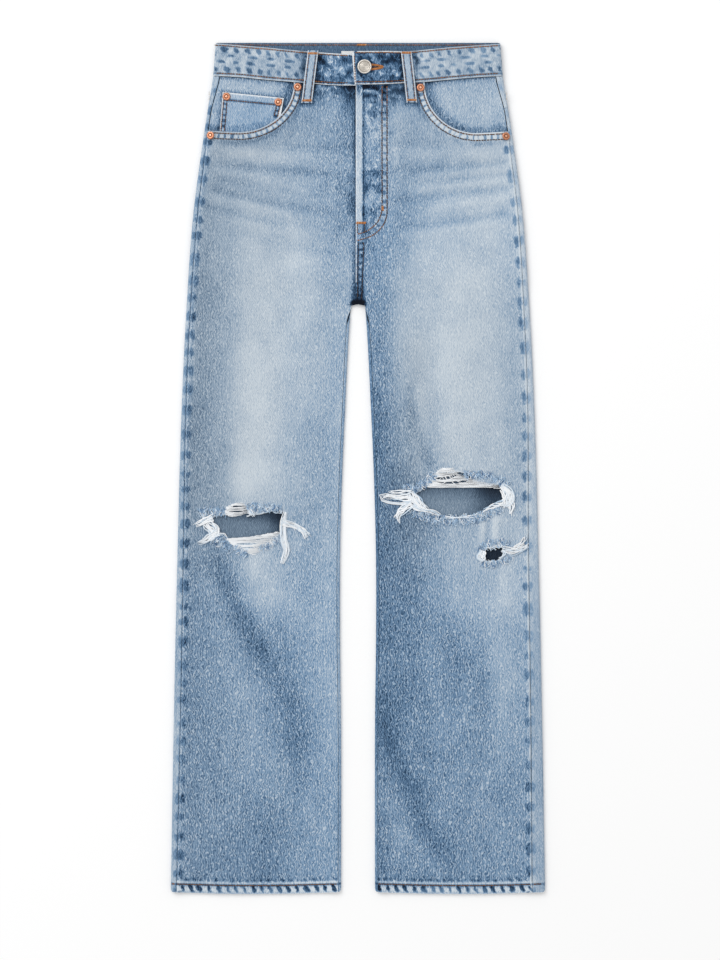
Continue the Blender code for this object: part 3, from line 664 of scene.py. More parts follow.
def band_pillow(t, x):
    """How much of the band's face is above its flat form, where t runs from its lower edge up."""
    t = np.clip(t, 0, 1)
    round_edge = -0.5 * fall(0, 0.05, t) - 0.5 * smooth(0.95, 1, t)
    groove = -0.28 * (near(t, 0.075, 0.03) + near(t, 0.95, 0.03))
    ripple = 0.16 * np.sin(x * TURN / 10.5 + 2 * lumps(x, 40 * t, 12, 4))
    return round_edge + groove + ripple * (1 - smooth(0.12, 0.3, t) * fall(0.75, 0.92, t))


# ---- Meshes ----


def grid_faces(rows, columns):
    start = np.arange((rows - 1) * columns).reshape(rows - 1, columns)[:, :-1].ravel()
    corners = np.stack([start, start + 1, start + columns + 1, start + columns], 1)
    return [tuple(face) for face in corners.tolist()]


def kept(points, faces):
    """Only the points that the faces use, and the faces on them."""
    used = np.unique([i for face in faces for i in face])
    place = np.full(len(points), -1)
    place[used] = np.arange(len(used))
    place = place.tolist()
    return points[used], [tuple(place[i] for i in face) for face in faces]


def clipped(points, faces, field):
    """The faces where the field isn't negative, cut along the line where it is 0."""
    points, made = [tuple(p) for p in points], {}
    out = (field < 0).tolist()
    value = field.tolist()
    result = []

    def cut_point(a, b):
        key = (min(a, b), max(a, b))
        if key not in made:
            t = value[key[0]] / (value[key[0]] - value[key[1]])
            p, q = points[key[0]], points[key[1]]
            made[key] = len(points)
            points.append(tuple(u + (v - u) * t for u, v in zip(p, q)))
        return made[key]

    for face in faces:
        outside = [out[i] for i in face]
        if not any(outside):
            result.append(face)
        elif not all(outside):
            ring = []
            for a, b in zip(face, face[1:] + face[:1]):
                if not out[a]:
                    ring.append(a)
                if out[a] != out[b]:
                    ring.append(cut_point(a, b))
            if len(ring) > 2:
                result.append(tuple(ring))
    return kept(np.array(points), result)


def normals_of(points, faces):
    """The normal at each point."""
    total = np.zeros_like(points)
    for size in {len(face) for face in faces}:
        rows = np.array([face for face in faces if len(face) == size])
        ring = points[rows]
        normal = np.cross(ring, np.roll(ring, -1, axis=1)).sum(1)
        for k in range(size):
            np.add.at(total, rows[:, k], normal)
    return total / np.maximum(np.linalg.norm(total, axis=1), 1e-9)[:, None]


def thickened(points, faces, wall):
    """A closed shell inside an open surface, that thick. The inner points follow the outer ones."""
    count = len(points)
    inner = points - normals_of(points, faces) * wall
    sides = {(a, b) for face in faces for a, b in zip(face, face[1:] + face[:1])}
    rim = [(b, a, count + a, count + b) for a, b in sorted(sides) if (b, a) not in sides]
    backs = [tuple(count + i for i in face[::-1]) for face in faces]
    return np.vstack([points, inner]), faces + backs + rim


def linked(name, data):
    """A new object in the scene."""
    thing = bpy.data.objects.new(name, data)
    bpy.context.scene.collection.objects.link(thing)
    return thing


def new_object(name, points, faces, material, sharp=math.radians(50), **values):
    """A smooth object with a float attribute for each of the values, one number a point."""
    mesh = bpy.data.meshes.new(name)
    mesh.from_pydata((np.asarray(points) * MM).tolist(), [], faces)
    mesh.validate()
    mesh.shade_smooth()
    mesh.set_sharp_from_angle(angle=sharp)
    for key, numbers in values.items():
        layer = mesh.attributes.new(key, "FLOAT", "POINT")
        layer.data.foreach_set("value", np.asarray(numbers, np.float32))
    mesh.materials.append(material)
    return linked(name, mesh)


FAR = 9.0  # for edges and stitches that are too far to show


def marks(x, y, edges=(), rows=(), ropes=()):
    """What the denim shader needs at each point: how far the nearest worn edge and the nearest row
    of stitches are, each a (line, how much wider it is), then of the roping, which is (line,
    strength, reach, spacing, slant), how near it is, where along its line and how strong."""
    edge, row = np.full(x.shape, FAR), np.full(x.shape, FAR)
    rope, along, deep = np.zeros(x.shape), np.zeros(x.shape), np.zeros(x.shape)
    for line, wider in edges:
        edge = np.minimum(edge, track(line, x, y, FAR)[0] - wider)
    for line, wider in rows:
        row = np.minimum(row, track(line, x, y, FAR)[0] - wider)
    for line, strength, reach, spacing, slant in ropes:
        away, place = track(line, x, y, 3 * reach)
        here = near(away, 0, reach) * (away < 3 * reach)
        turn = (place + slant * y) / spacing
        turn = turn + 0.25 * lumps(turn, 0 * turn, 1.7, 81)
        ahead = here * strength > rope * deep
        along = np.where(ahead, turn, along)
        uneven = strength * (1 + 0.5 * lumps(place, 0 * place, 2.3 * spacing, 82))
        rope, deep = np.where(ahead, here, rope), np.where(ahead, uneven, deep)
    return {"edge": edge, "row": row, "rope": rope, "along": along, "deep": deep}


# How the cloth's inner side looks.
INNER_TONE, FRONT_INNER_TONE, BAND_INNER_TONE, BAND_INNER_DULL = 0.45, 0.5, 0.37, 0.45
INNER_GRAIN = 0.5
SLANT = 0.35  # how far the ovals of a level seam lean


def placed(piece, node=None):
    """Puts a piece on the root body, and hides the CAD node that it stands for."""
    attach(piece, "root")
    if node:
        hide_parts(node)
    return piece


def cloth(name, node, points, faces, wall, looks, inner_tone, inner_dull=1.0):
    """A sheet of denim that stands for a CAD node. The looks are its outer points'."""
    count = len(points)
    points, faces = thickened(points, faces, wall)
    looks = {"dull": 0.0, "grain": 1.0, **looks}
    within = {"tone": inner_tone, "dull": inner_dull, "grain": INNER_GRAIN, "crackle": 0.0}
    values = {
        key: np.concatenate([np.broadcast_to(v, count) for v in (outer, within.get(key, outer))])
        for key, outer in looks.items()
    }
    placed(new_object(name, points, faces, DENIM, **values), node)


def tubes(name, centres, radii, sides, shade, material):
    """Many thin tubes as one object: centres is (tube, ring, 3), radii (tube, ring)."""
    count, rings, _ = centres.shape
    way = np.gradient(centres, axis=1)
    way /= np.maximum(np.linalg.norm(way, axis=2), 1e-9)[..., None]
    across = np.cross(way, (0.0, 0.02, 1.0))
    across /= np.maximum(np.linalg.norm(across, axis=2), 1e-9)[..., None]
    up = np.cross(across, way)
    turn = TURN * np.arange(sides) / sides
    ring = across[:, :, None] * np.cos(turn)[:, None] + up[:, :, None] * np.sin(turn)[:, None]
    skin = centres[:, :, None] + ring * radii[..., None, None]
    body = skin.reshape(count, rings * sides, 3)
    points = np.concatenate([body, centres[:, :1], centres[:, -1:]], 1)
    k, s = np.meshgrid(np.arange(rings - 1), np.arange(sides), indexing="ij")
    k, s = k.ravel() * sides, s.ravel()
    nxt = (s + 1) % sides
    quads = np.stack([k + s, k + nxt, k + sides + nxt, k + sides + s], 1)
    first, last = rings * sides, rings * sides + 1
    s = np.arange(sides)
    nxt, top = (s + 1) % sides, (rings - 1) * sides
    start_caps = np.stack([nxt, s, 0 * s + first], 1)
    end_caps = np.stack([top + s, top + nxt, 0 * s + last], 1)
    shift = np.arange(count)[:, None, None] * (rings * sides + 2)
    faces = []
    for part in (quads, start_caps, end_caps):
        faces += (part + shift).reshape(-1, part.shape[1]).tolist()
    shades = np.repeat(shade, rings * sides + 2)
    piece = new_object(name, points.reshape(-1, 3), faces, material, math.radians(80), shade=shades)
    return placed(piece)



# ---- Materials ----

OFF_AXES = (0.62, 0.48, 0.27)  # turns the noise, so that its cells don't line up with the cloth


def linear(rgb):
    """A colour given as 0-255 display numbers, as a linear one."""
    c = np.array(rgb, float) / 255
    return (*np.where(c < 0.04045, c / 12.92, ((c + 0.055) / 1.055) ** 2.4), 1.0)


def joined(operation, swapped=False):
    def result(self, other):
        return self.nodes.math(operation, *((other, self) if swapped else (self, other)))

    return result


class Value:
    """What a node gives, so that a sum of values adds the nodes for it."""

    def __init__(self, nodes, socket):
        self.nodes, self.socket = nodes, socket

    __add__ = joined("ADD")
    __sub__ = joined("SUBTRACT")
    __rsub__ = joined("SUBTRACT", True)
    __mul__ = joined("MULTIPLY")


class Nodes:
    """The nodes of a material or a world, with short ways to add and join them."""

    def __init__(self, owner):
        self.owner = owner
        owner.use_nodes = True
        self.tree = owner.node_tree

    def put(self, socket, value):
        if isinstance(value, Value):
            self.tree.links.new(value.socket, socket)
        elif value is not None:
            socket.default_value = value

    def add(self, kind, values=(), out=0, **settings):
        node = self.tree.nodes.new("ShaderNode" + kind)
        for key, value in settings.items():
            setattr(node, key, value)
        for key, value in dict(values).items():
            self.put(node.inputs[key], value)
        return Value(self, node.outputs[out])

    def math(self, operation, a, b=None):
        return self.add("Math", {0: a, 1: b}, operation=operation)

    def vector(self, operation, a, values):
        return self.add("VectorMath", {0: a, **values}, operation=operation)

    def step(self, value, low, high, to_low=0.0, to_high=1.0):
        """A soft step of the value, from to_low at low to to_high at high."""
        values = {0: value, 1: low, 2: high, 3: to_low, 4: to_high}
        return self.add("MapRange", values, interpolation_type="SMOOTHSTEP")

    def noise(self, place, detail=2.0):
        values = {"Vector": place, "Scale": 1.0, "Detail": detail, "Roughness": 0.55}
        return self.add("TexNoise", values)

    def attribute(self, name):
        return self.add("Attribute", out=2, attribute_name=name)

    def scaled(self, place, across, along):
        """Places divided by a size in mm across and along, then turned off the axes."""
        sizes = (1 / across, 1 / along, 1 / across)
        return self.add("Mapping", {"Vector": place, "Rotation": OFF_AXES, "Scale": sizes})

    def place(self):
        """The point in millimetres."""
        return self.vector("SCALE", self.add("TexCoord", out=3), {"Scale": 1 / MM})

    def ramp(self, value, stops):
        """Colours by value. The stops are (value, display colour)."""
        node = self.tree.nodes.new("ShaderNodeValToRGB")
        while len(node.color_ramp.elements) < len(stops):
            node.color_ramp.elements.new(0.5)
        for element, (at, rgb) in zip(node.color_ramp.elements, stops):
            element.position = at
            element.color = linear(rgb)
        self.put(node.inputs[0], value)
        return Value(self, node.outputs[0])

    def blend(self, factor, a, b):
        return self.add("Mix", {0: factor, 6: a, 7: b}, out=2, data_type="RGBA")

    def set(self, node, **values):
        for key, value in values.items():
            self.put(self.tree.nodes[node].inputs[key.replace("_", " ")], value)

    def finish(self, colour, rough, height, depth, **constants):
        """Joins the shader's inputs. The height is in mm and its full relief is depth."""
        bump = self.add("Bump", {"Height": height, "Distance": depth * MM, "Strength": 1.0})
        self.set("Principled BSDF", Base_Color=colour, Roughness=rough, Normal=bump, **constants)
        return self.owner


# Washed indigo by tone, which is about how bright it looks, and the cloth's greyer inside.
BLUES = (
    (0.00, (8, 16, 30)),
    (0.17, (24, 46, 71)),
    (0.34, (59, 92, 125)),
    (0.52, (104, 136, 169)),
    (0.63, (136, 165, 194)),
    (0.75, (178, 195, 212)),
    (0.88, (216, 226, 234)),
)
GREYS = (
    (0.05, (17, 26, 38)),
    (0.25, (57, 71, 86)),
    (0.50, (120, 137, 153)),
    (0.80, (194, 203, 210)),
)
THREADS_BY_SHADE = (
    (0.0, (40, 42, 52)),
    (0.25, (78, 66, 62)),
    (0.45, (118, 84, 60)),
    (0.7, (196, 128, 72)),
    (0.85, (210, 188, 166)),
    (1.0, (232, 232, 230)),
)
YARNS_BY_SHADE = (
    (0.0, (84, 120, 162)),
    (0.3, (160, 190, 217)),
    (0.6, (214, 228, 240)),
    (0.9, (249, 251, 253)),
)
WEAR_WHITE = (233, 238, 242)
FLECK = 3.2  # mm between the pale threads of the washed cloth
FLECK_SIZE = (2.4, 3.4)  # mm across and along of what they come and go by
ELSEWHERE = (37.0, 11.0, 5.0)  # where the dark ones take theirs from, in mm
CRACKLE = 9.5  # mm across the small patches near the waist


def denim_material():
    n = Nodes(bpy.data.materials.new("denim"))
    spot = n.place()
    tone, dull = n.attribute("tone"), n.attribute("dull")
    # Pale and dark threads wander up the cloth, and show most where it is bluest.
    bent = n.noise(n.scaled(spot, 5.6, 5.6))
    wave = n.math("SINE", n.add("SeparateXYZ", {0: spot}) * (TURN / FLECK) + bent * 22.0)
    fleck = n.noise(n.scaled(spot, *FLECK_SIZE), 0.0)
    other = n.noise(n.scaled(n.vector("ADD", spot, {1: ELSEWHERE}), *FLECK_SIZE), 0.0)
    pale = n.step(wave, -0.2, 1.0) * n.step(fleck, 0.4, 0.6, 0.25, 1.0)
    dark = n.step(wave, 0.2, -1.0) * n.step(other, 0.4, 0.6, 0.25, 1.0)
    fine = n.noise(n.scaled(spot, 0.9, 1.5), 1.0)
    strength = n.step(tone, 0.48, 0.76, 0.245, 0.105) * n.step(tone, 0.2, 0.46, 0.5, 1.0)
    strength = strength * n.attribute("grain")
    worm = (pale * 0.90 - dark * 0.74 + (fine - 0.5) * 0.3) * strength
    worm = worm * n.step(dull, 0.0, 1.0, 1.0, 0.7)
    broad = n.noise(n.scaled(spot, 26, 44), 1.0)
    tone = tone + (worm + (broad - 0.5) * 0.09)
    # Twill: fine slanting ribs.
    ribs = {"Vector": n.vector("MULTIPLY", spot, {1: (1.0, 0.62, 1.0)}), "Scale": 0.26}
    ribs |= {"Distortion": 0.8, "Detail": 1.0, "Detail Scale": 0.4}
    twill = n.add("TexWave", ribs, out=1, bands_direction="DIAGONAL")
    tone = tone + (twill - 0.5) * 0.05
    # Roping: dark ovals along a seam, with paler cloth round them.
    along, rope = n.attribute("along"), n.attribute("rope")
    jitter = n.noise(n.scaled(spot, 5, 5), 1.0)
    turn = along * TURN + jitter * 3.0
    uneven = n.noise(n.add("CombineXYZ", {0: along * 0.7}), 0.0)
    oval = n.step((n.math("SINE", turn) + uneven * 1.8) * rope, 0.4, 1.65, 0.0, -1.15) + rope * 0.15
    tone = tone + oval * n.attribute("deep")
    # A row of stitches pulls the cloth into a groove, whose shade is painted in as darker cloth.
    row = n.step(n.attribute("row"), 0.7, 2.2, 1.0, 0.0)
    tone = tone - row * 0.22
    # Crackle: thin pale lines round small dark patches.
    push = n.add("TexNoise", {"Vector": n.scaled(spot, 9, 9), "Scale": 1.0, "Detail": 1.0}, out=1)
    push = n.vector("ADD", spot, {1: n.vector("SCALE", push, {"Scale": 12.0})})
    cell = n.add("TexVoronoi", {"Vector": push, "Scale": 1 / CRACKLE}, feature="DISTANCE_TO_EDGE")
    line = n.step(cell, 0.0, 0.15, 1.0, 0.0) * n.step(jitter, 0.42, 0.62)
    tone = tone + line * n.attribute("crackle")
    blue = n.ramp(tone, BLUES)
    plain = n.blend(dull * n.step(oval, -0.9, 0.0, 0.25, 0.75), blue, n.ramp(tone, GREYS))
    # Folded and cut edges are worn white, unevenly.
    rubs = n.noise(n.scaled(spot, 2.4, 2.4)) * 2.4
    wear = n.step(n.attribute("edge") + rubs, 1.7, 3.5, 0.95, 0.0) * (1.0 - dull)
    colour = n.blend(wear, plain, linear(WEAR_WHITE))
    height = pale * 0.3 + twill * 0.16 + fine * 0.2 - (row * 0.8 + dark * 0.2)
    rough = n.step(fleck, 0.3, 0.7, 0.95, 0.82)
    return n.finish(colour, rough, height, 0.30, Specular_IOR_Level=0.2)


def spotted(name, size, mottled, stops, rough, depth, detail=2.0, twist=None, **constants):
    """A material coloured by the shade attribute, with spots of this size in mm."""
    n = Nodes(bpy.data.materials.new(name))
    spot = n.place()
    mottle = n.noise(n.scaled(spot, size, size), detail)
    colour = n.ramp(n.attribute("shade") + (mottle - 0.5) * mottled, stops)
    height = n.add("TexWave", {"Vector": spot, **twist}, out=1) if twist else mottle
    return n.finish(colour, n.step(mottle, 0.3, 0.7, *rough), height, depth, **constants)


def label_material():
    n = Nodes(bpy.data.materials.new("label"))
    spot = n.place()
    weave = n.noise(n.scaled(spot, 0.5, 0.5), 1.0)
    colour = n.ramp(n.noise(n.scaled(spot, 6, 6)), ((0.2, (214, 216, 216)), (0.8, (236, 237, 236))))
    return n.finish(colour, n.step(weave, 0.3, 0.7, 0.6, 0.8), weave, 0.08, Specular_IOR_Level=0.3)


DENIM, LABEL = denim_material(), label_material()
TWIST = {"Scale": 0.8, "Distortion": 1.0}
THREAD = spotted(
    "thread", 1.2, 0.25, THREADS_BY_SHADE, (0.75, 0.9), 0.06, twist=TWIST, Specular_IOR_Level=0.3
)
YARN = spotted("yarn", 2.0, 0.3, YARNS_BY_SHADE, (0.8, 0.95), 0.1, Specular_IOR_Level=0.2)
COPPERS = ((0.1, (96, 48, 32)), (0.5, (196, 122, 86)), (0.9, (242, 196, 168)))
NICKELS = ((0.1, (110, 104, 98)), (0.5, (196, 189, 179)), (0.9, (240, 236, 229)))
COPPER = spotted("copper", 1.6, 0.5, COPPERS, (0.35, 0.55), 0.12, 3.0, Metallic=1.0)
NICKEL = spotted("nickel", 1.6, 0.5, NICKELS, (0.42, 0.6), 0.12, 3.0, Metallic=1.0)


# ---- Threads ----

# Shades of thread, from grey through brown and orange to white.
GREY, BROWN, ORANGE, WHITE = 0.22, 0.42, 0.68, 1.0
# Near-black thread laid along the buttonhole's slit as its painted shadow.
SLIT_SHADOW = 0.06
THREAD_RADIUS = 0.6
STITCHES, FIBRES = {}, {}


def bar(x0, y0, x1, y1, step=0.8):
    """A straight line, as points about a step apart."""
    count = max(2, round(math.hypot(x1 - x0, y1 - y0) / step) + 1)
    return np.linspace((x0, y0), (x1, y1), count)


def at_line(line, s, at):
    """The points of a line at these distances along it, whose own points are at s."""
    return np.interp(at, s, line[:, 0]), np.interp(at, s, line[:, 1])


def keep_row(group, x, y, z, shade, thick=1.0):
    shades = shade + RNG.normal(0, 0.05, len(x))
    row = np.stack([x, y, z], -1), shades, np.full(len(x), thick)
    STITCHES.setdefault(group, []).append(row)


def stitch(group, line, height, shade=BROWN, pitch=3.0, length=2.5, start=0.0, end=None, thick=1.0):
    """A row of stitches on a line, from start to end along it."""
    s = lengths(line)
    end = s[-1] if end is None else end
    count = int((end - start) / pitch)
    if count < 1:
        return
    middle = start + (np.arange(count) + 0.5) * pitch + RNG.normal(0, 0.12, count)
    at = middle[:, None] + length * np.array([-0.5, -0.22, 0.22, 0.5])
    side = RNG.normal(0, 0.1, count)[:, None]
    x, y = at_line(line, s, at)
    x, y = x + side, y + side
    keep_row(group, x, y, height(x, y) + (-0.45, 0.10, 0.10, -0.45), shade, thick)


def tack(group, line, width, height, shade=ORANGE, pitch=0.62):
    """Close stitches across a line, as at a bar tack or round a buttonhole."""
    s = lengths(line)
    at = np.arange(pitch / 2, s[-1], pitch)
    way = np.gradient(line, axis=0)
    way /= np.linalg.norm(way, axis=1)[:, None]
    wx, wy = (part[:, None] for part in at_line(way, s, at))
    part = width * np.array([-0.5, -0.2, 0.2, 0.5]) * (1 + RNG.normal(0, 0.06, len(at))[:, None])
    slant = 0.3 * np.array([-1, -0.4, 0.4, 1])
    x, y = (value[:, None] for value in at_line(line, s, at))
    x, y = x - wy * part + wx * slant, y + wx * part + wy * slant
    keep_row(group, x, y, height(x, y) + (-0.3, 0.3, 0.3, -0.3), shade)


def sewn():
    """The stitches of each group, as one piece each."""
    pieces = {}
    for group, rows in STITCHES.items():
        centres, shade, thick = (np.concatenate(part) for part in zip(*rows))
        radii = THREAD_RADIUS * thick[:, None] * (0.7, 1.0, 1.0, 0.7)
        pieces[group] = [tubes(f"thread_{group}", centres, radii, 5, shade, THREAD)]
    return pieces


def keep_fibre(x, y, z, radii, shade):
    FIBRES.setdefault(len(x), []).append((np.stack([x, y, z], 1), radii, shade))


def yarn(points, fibres, loose, radius, shade=WHITE, lift=0.5, rings=12, step=2.0, ends=0.35):
    """Fibres along one line of points, which come apart towards its far end."""
    line = rounded(points, step)
    s = lengths(line)
    at = np.linspace(0, s[-1], rings)
    t = at / s[-1]
    way = ways(line, s, at)
    for _ in range(fibres):
        phase, turns = RNG.uniform(0, TURN), RNG.uniform(0.4, 1.4)
        out = loose * (ends + (1 - ends) * t) * np.sin(phase + turns * TURN * t)
        out += loose * RNG.normal(0, 0.5) * (ends + t)
        x, y = at_line(line, s, at * RNG.uniform(0.72, 1.0))
        x, y = x - way[1] * out, y + way[0] * out
        z = face_z(x, y) + lift + 0.5 * abs(RNG.normal(0, 1)) * (0.4 + t)
        radii = radius * (1 - 0.55 * t**3) * RNG.uniform(0.8, 1.15)
        keep_fibre(x, y, z, radii, shade + RNG.normal(0, 0.06))


def hank(points, widths, ropes, shade=0.86):
    """Yarns side by side along a line, as wide as the widths say from its start to its end."""
    line = rounded(points)
    s = lengths(line)
    for k in range(ropes):
        place = (k + 0.5 + RNG.normal(0, 0.18)) / ropes - 0.5
        reach = RNG.uniform(0.82, 1.0) if widths[-1] < widths[0] else 1.0
        at = np.linspace(0, s[-1] * reach, 12)
        width = np.interp(at / s[-1], np.linspace(0, 1, len(widths)), widths)
        gap = width / ropes
        phase, turns = RNG.uniform(0, TURN), RNG.uniform(0.8, 1.8)
        wave = 0.55 * (gap + 0.5) * np.sin(phase + turns * TURN * at / s[-1])
        way, out = ways(line, s, at), place * width + wave
        x, y = at_line(line, s, at)
        x, y = x - way[1] * out, y + way[0] * out
        radii = np.clip(0.74 * gap, 0.32, 1.05)
        z = face_z(x, y) + 0.2 + radii + RNG.uniform(0, 0.5)
        keep_fibre(x, y, z, radii, shade + RNG.normal(0, 0.2))


CURL_SIZE, CURL_RADIUS, CURLS = 6.5, 0.56, 0.45  # the last is how many there are on a mm2


def ruffle(points, width, shade=0.40):
    """Small curls of cut warp along the edge of a rip, that wide."""
    line = rounded(points)
    s = lengths(line)
    way = np.gradient(line, axis=0)
    way /= np.linalg.norm(way, axis=1)[:, None]
    for _ in range(int(s[-1] * width * CURLS)):
        at, off = RNG.uniform(0, s[-1]), RNG.uniform(-0.5, 0.5) * width
        run = np.array(at_line(way, s, at))
        side = np.array([-run[1], run[0]])
        here = np.array(at_line(line, s, at)) + side * off
        aim = side * RNG.choice((-1, 1)) + run * RNG.normal(0, 0.7)
        aim *= CURL_SIZE * RNG.uniform(0.3, 0.6) / np.linalg.norm(aim)
        bend = np.array([-aim[1], aim[0]]) * RNG.uniform(-0.9, 0.9)
        pale, lift = shade + RNG.normal(0, 0.24), RNG.uniform(0, 0.7)
        yarn([here - aim, here + bend, here + aim], 1, 0.1, CURL_RADIUS, pale, lift, 7)


def strands(outline, pitch, gaps):
    """White weft threads left across a torn place, which is an outline. The gaps are thin bowed
    slits without threads: (x0, y0, x1, y1, half width, sag)."""
    outline = np.array(outline, float)
    sides = list(zip(outline, np.roll(outline, -1, axis=0)))
    for y in np.arange(outline[:, 1].min() + pitch / 2, outline[:, 1].max(), pitch):
        met = [(a, b, (y - a[1]) / (b[1] - a[1])) for a, b in sides if (a[1] > y) != (b[1] > y)]
        if len(met) < 2:
            continue
        crossings = [a[0] + (b[0] - a[0]) * t for a, b, t in met]
        left, right = min(crossings) - RNG.uniform(0, 3), max(crossings) + RNG.uniform(0, 3)
        x = np.linspace(left, right, 21)
        sway = 0.5 * np.sin(np.linspace(0, math.pi, 21)) * RNG.normal(0, 1)
        path = np.stack([x, y + sway + 0.3 * lumps(x, y + 0 * x, 9, 91)], 1)
        for x0, y0, x1, y1, half, sag in gaps:
            t = (x - x0) / (x1 - x0)
            on = np.clip(4 * t * (1 - t), 0, 1)
            off = path[:, 1] - (y0 + (y1 - y0) * t) + sag * on
            path[:, 1] += np.where(off > 0, 1, -1) * np.maximum(0, half * on - abs(off))
        yarn(path, 2, 0.2, 0.34, WHITE, 0.1, 22, 2.0, 1.0)


def tuft(points, yarns, spread):
    """A bunch of yarns pulled out along a line, apart by spread at its free end."""
    points = np.array(points, float)
    t = np.linspace(0, 1, len(points))[:, None]
    for _ in range(yarns):
        fan = RNG.normal(0, 1, 2) * spread
        wave = RNG.normal(0, 1, points.shape) * spread * 0.25
        size = RNG.uniform(0.62, 1.0)
        line = points[0] + (points - points[0]) * size + fan * t + wave * t
        yarn(line + RNG.normal(0, 0.8, 2), 4, 0.9, 0.24, step=1.5)


# ---- Lines that are sewn or worn ----


def spaced(start, *runs):
    """Numbers from start on, through runs of (end, about how far apart)."""
    found = [start]
    for end, step in runs:
        count = max(1, round(abs(end - found[-1]) / step))
        found += np.linspace(found[-1], end, count + 1)[1:].tolist()
    return np.array(found)


def level(y_of, low, high, step=6.0):
    """A plan line whose y is a function of x, from the lower of two x on."""
    low, high = sorted((low, high))
    x = spaced(low, (high, step))
    return np.stack([x, y_of(x) + 0 * x], 1)


HEM_ROW = 10.2  # how far above the hem's edge it is stitched
SCOOP_ROWS = (2.4, 9.0)  # how far below the pocket's edge its two rows are
COIN_ROWS = (2.0, 6.2)  # how far in from the coin pocket's sides
COIN_HEM_ROW = -8.8
# The two rows of the fly: x down to its bend and y of its top, then its points from there on.
FLY_TOP, FLY_MIDDLE, FLY_HOOK = 457.5, 380, -1.8
FLY_ROWS = FLY_INNER, FLY_OUTER = [
    rounded([(x, FLY_TOP), (x, FLY_MIDDLE), (x, bend), *points, (FLY_HOOK, end)], 2)
    for x, bend, points, end in (
        (28.8, 316, ((27.6, 305), (24, 296), (18, 289.5), (10, 284)), 280),
        (34.8, 312, ((33.6, 300), (29.5, 290.5), (22, 282.5), (13, 277)), 272.6),
    )
]
CROTCH_ROWS = (bar(0.4, 270, -0.6, 203, 4), bar(7.0, 271, 4.4, 203, 4))
SEAM_Y = spaced(-508, (462, 12.0))
OUTSEAMS = {side: np.stack([side * outseam(side, SEAM_Y), SEAM_Y], 1) for side in (-1, 1)}
HEMS = {side: level(hem_line, side * 20, side * 226) for side in (-1, 1)}
COIN_LEFT, COIN_RIGHT = (
    bar(x, float(scoop_edge(-1, x, 0.5)), *high, 3) for x, high in zip(COIN_LOW_X, COIN_HIGH)
)
COIN_SIDES = ((COIN_LEFT, -1), (COIN_RIGHT, 1))
COIN_TOP = bar(*COIN_HIGH[0], *COIN_HIGH[1], 4)
COIN_OUTLINE = np.vstack([COIN_LEFT, COIN_RIGHT[::-1], COIN_LEFT[:1]])

# ---- Front panels ----


def loop_part(side, x, y):
    """(how far up a front loop each point is, from 0 to 1, how far it is from its middle line)."""
    x_low, y_low, x_high, y_high = FRONT_LOOPS[side]
    t = np.clip((y - y_low) / (y_high - y_low), 0, 1)
    return t, abs(x - mix(x_low, x_high, t))


def beside_loop(side, x, y):
    """How far a point is from a front loop's edge."""
    away = np.maximum(0, loop_part(side, x, y)[1] - LOOP_WIDTH / 2)
    return np.hypot(away, np.maximum(0, FRONT_LOOPS[side][1] - y))


def leg_part(x, y):
    """How far across a leg each point is, from 0 at its inner edge to 1 at its outer edge."""
    gap = np.where(y < CROTCH, half_gap(y), 8)
    return (abs(x) - gap) / (outer_edge(y) - gap)


def wisps(x, y, size, seed):
    """Lumps that are long and lean to the left."""
    return lumps(x - 0.8 * y, 0.45 * (x + y), size, seed)


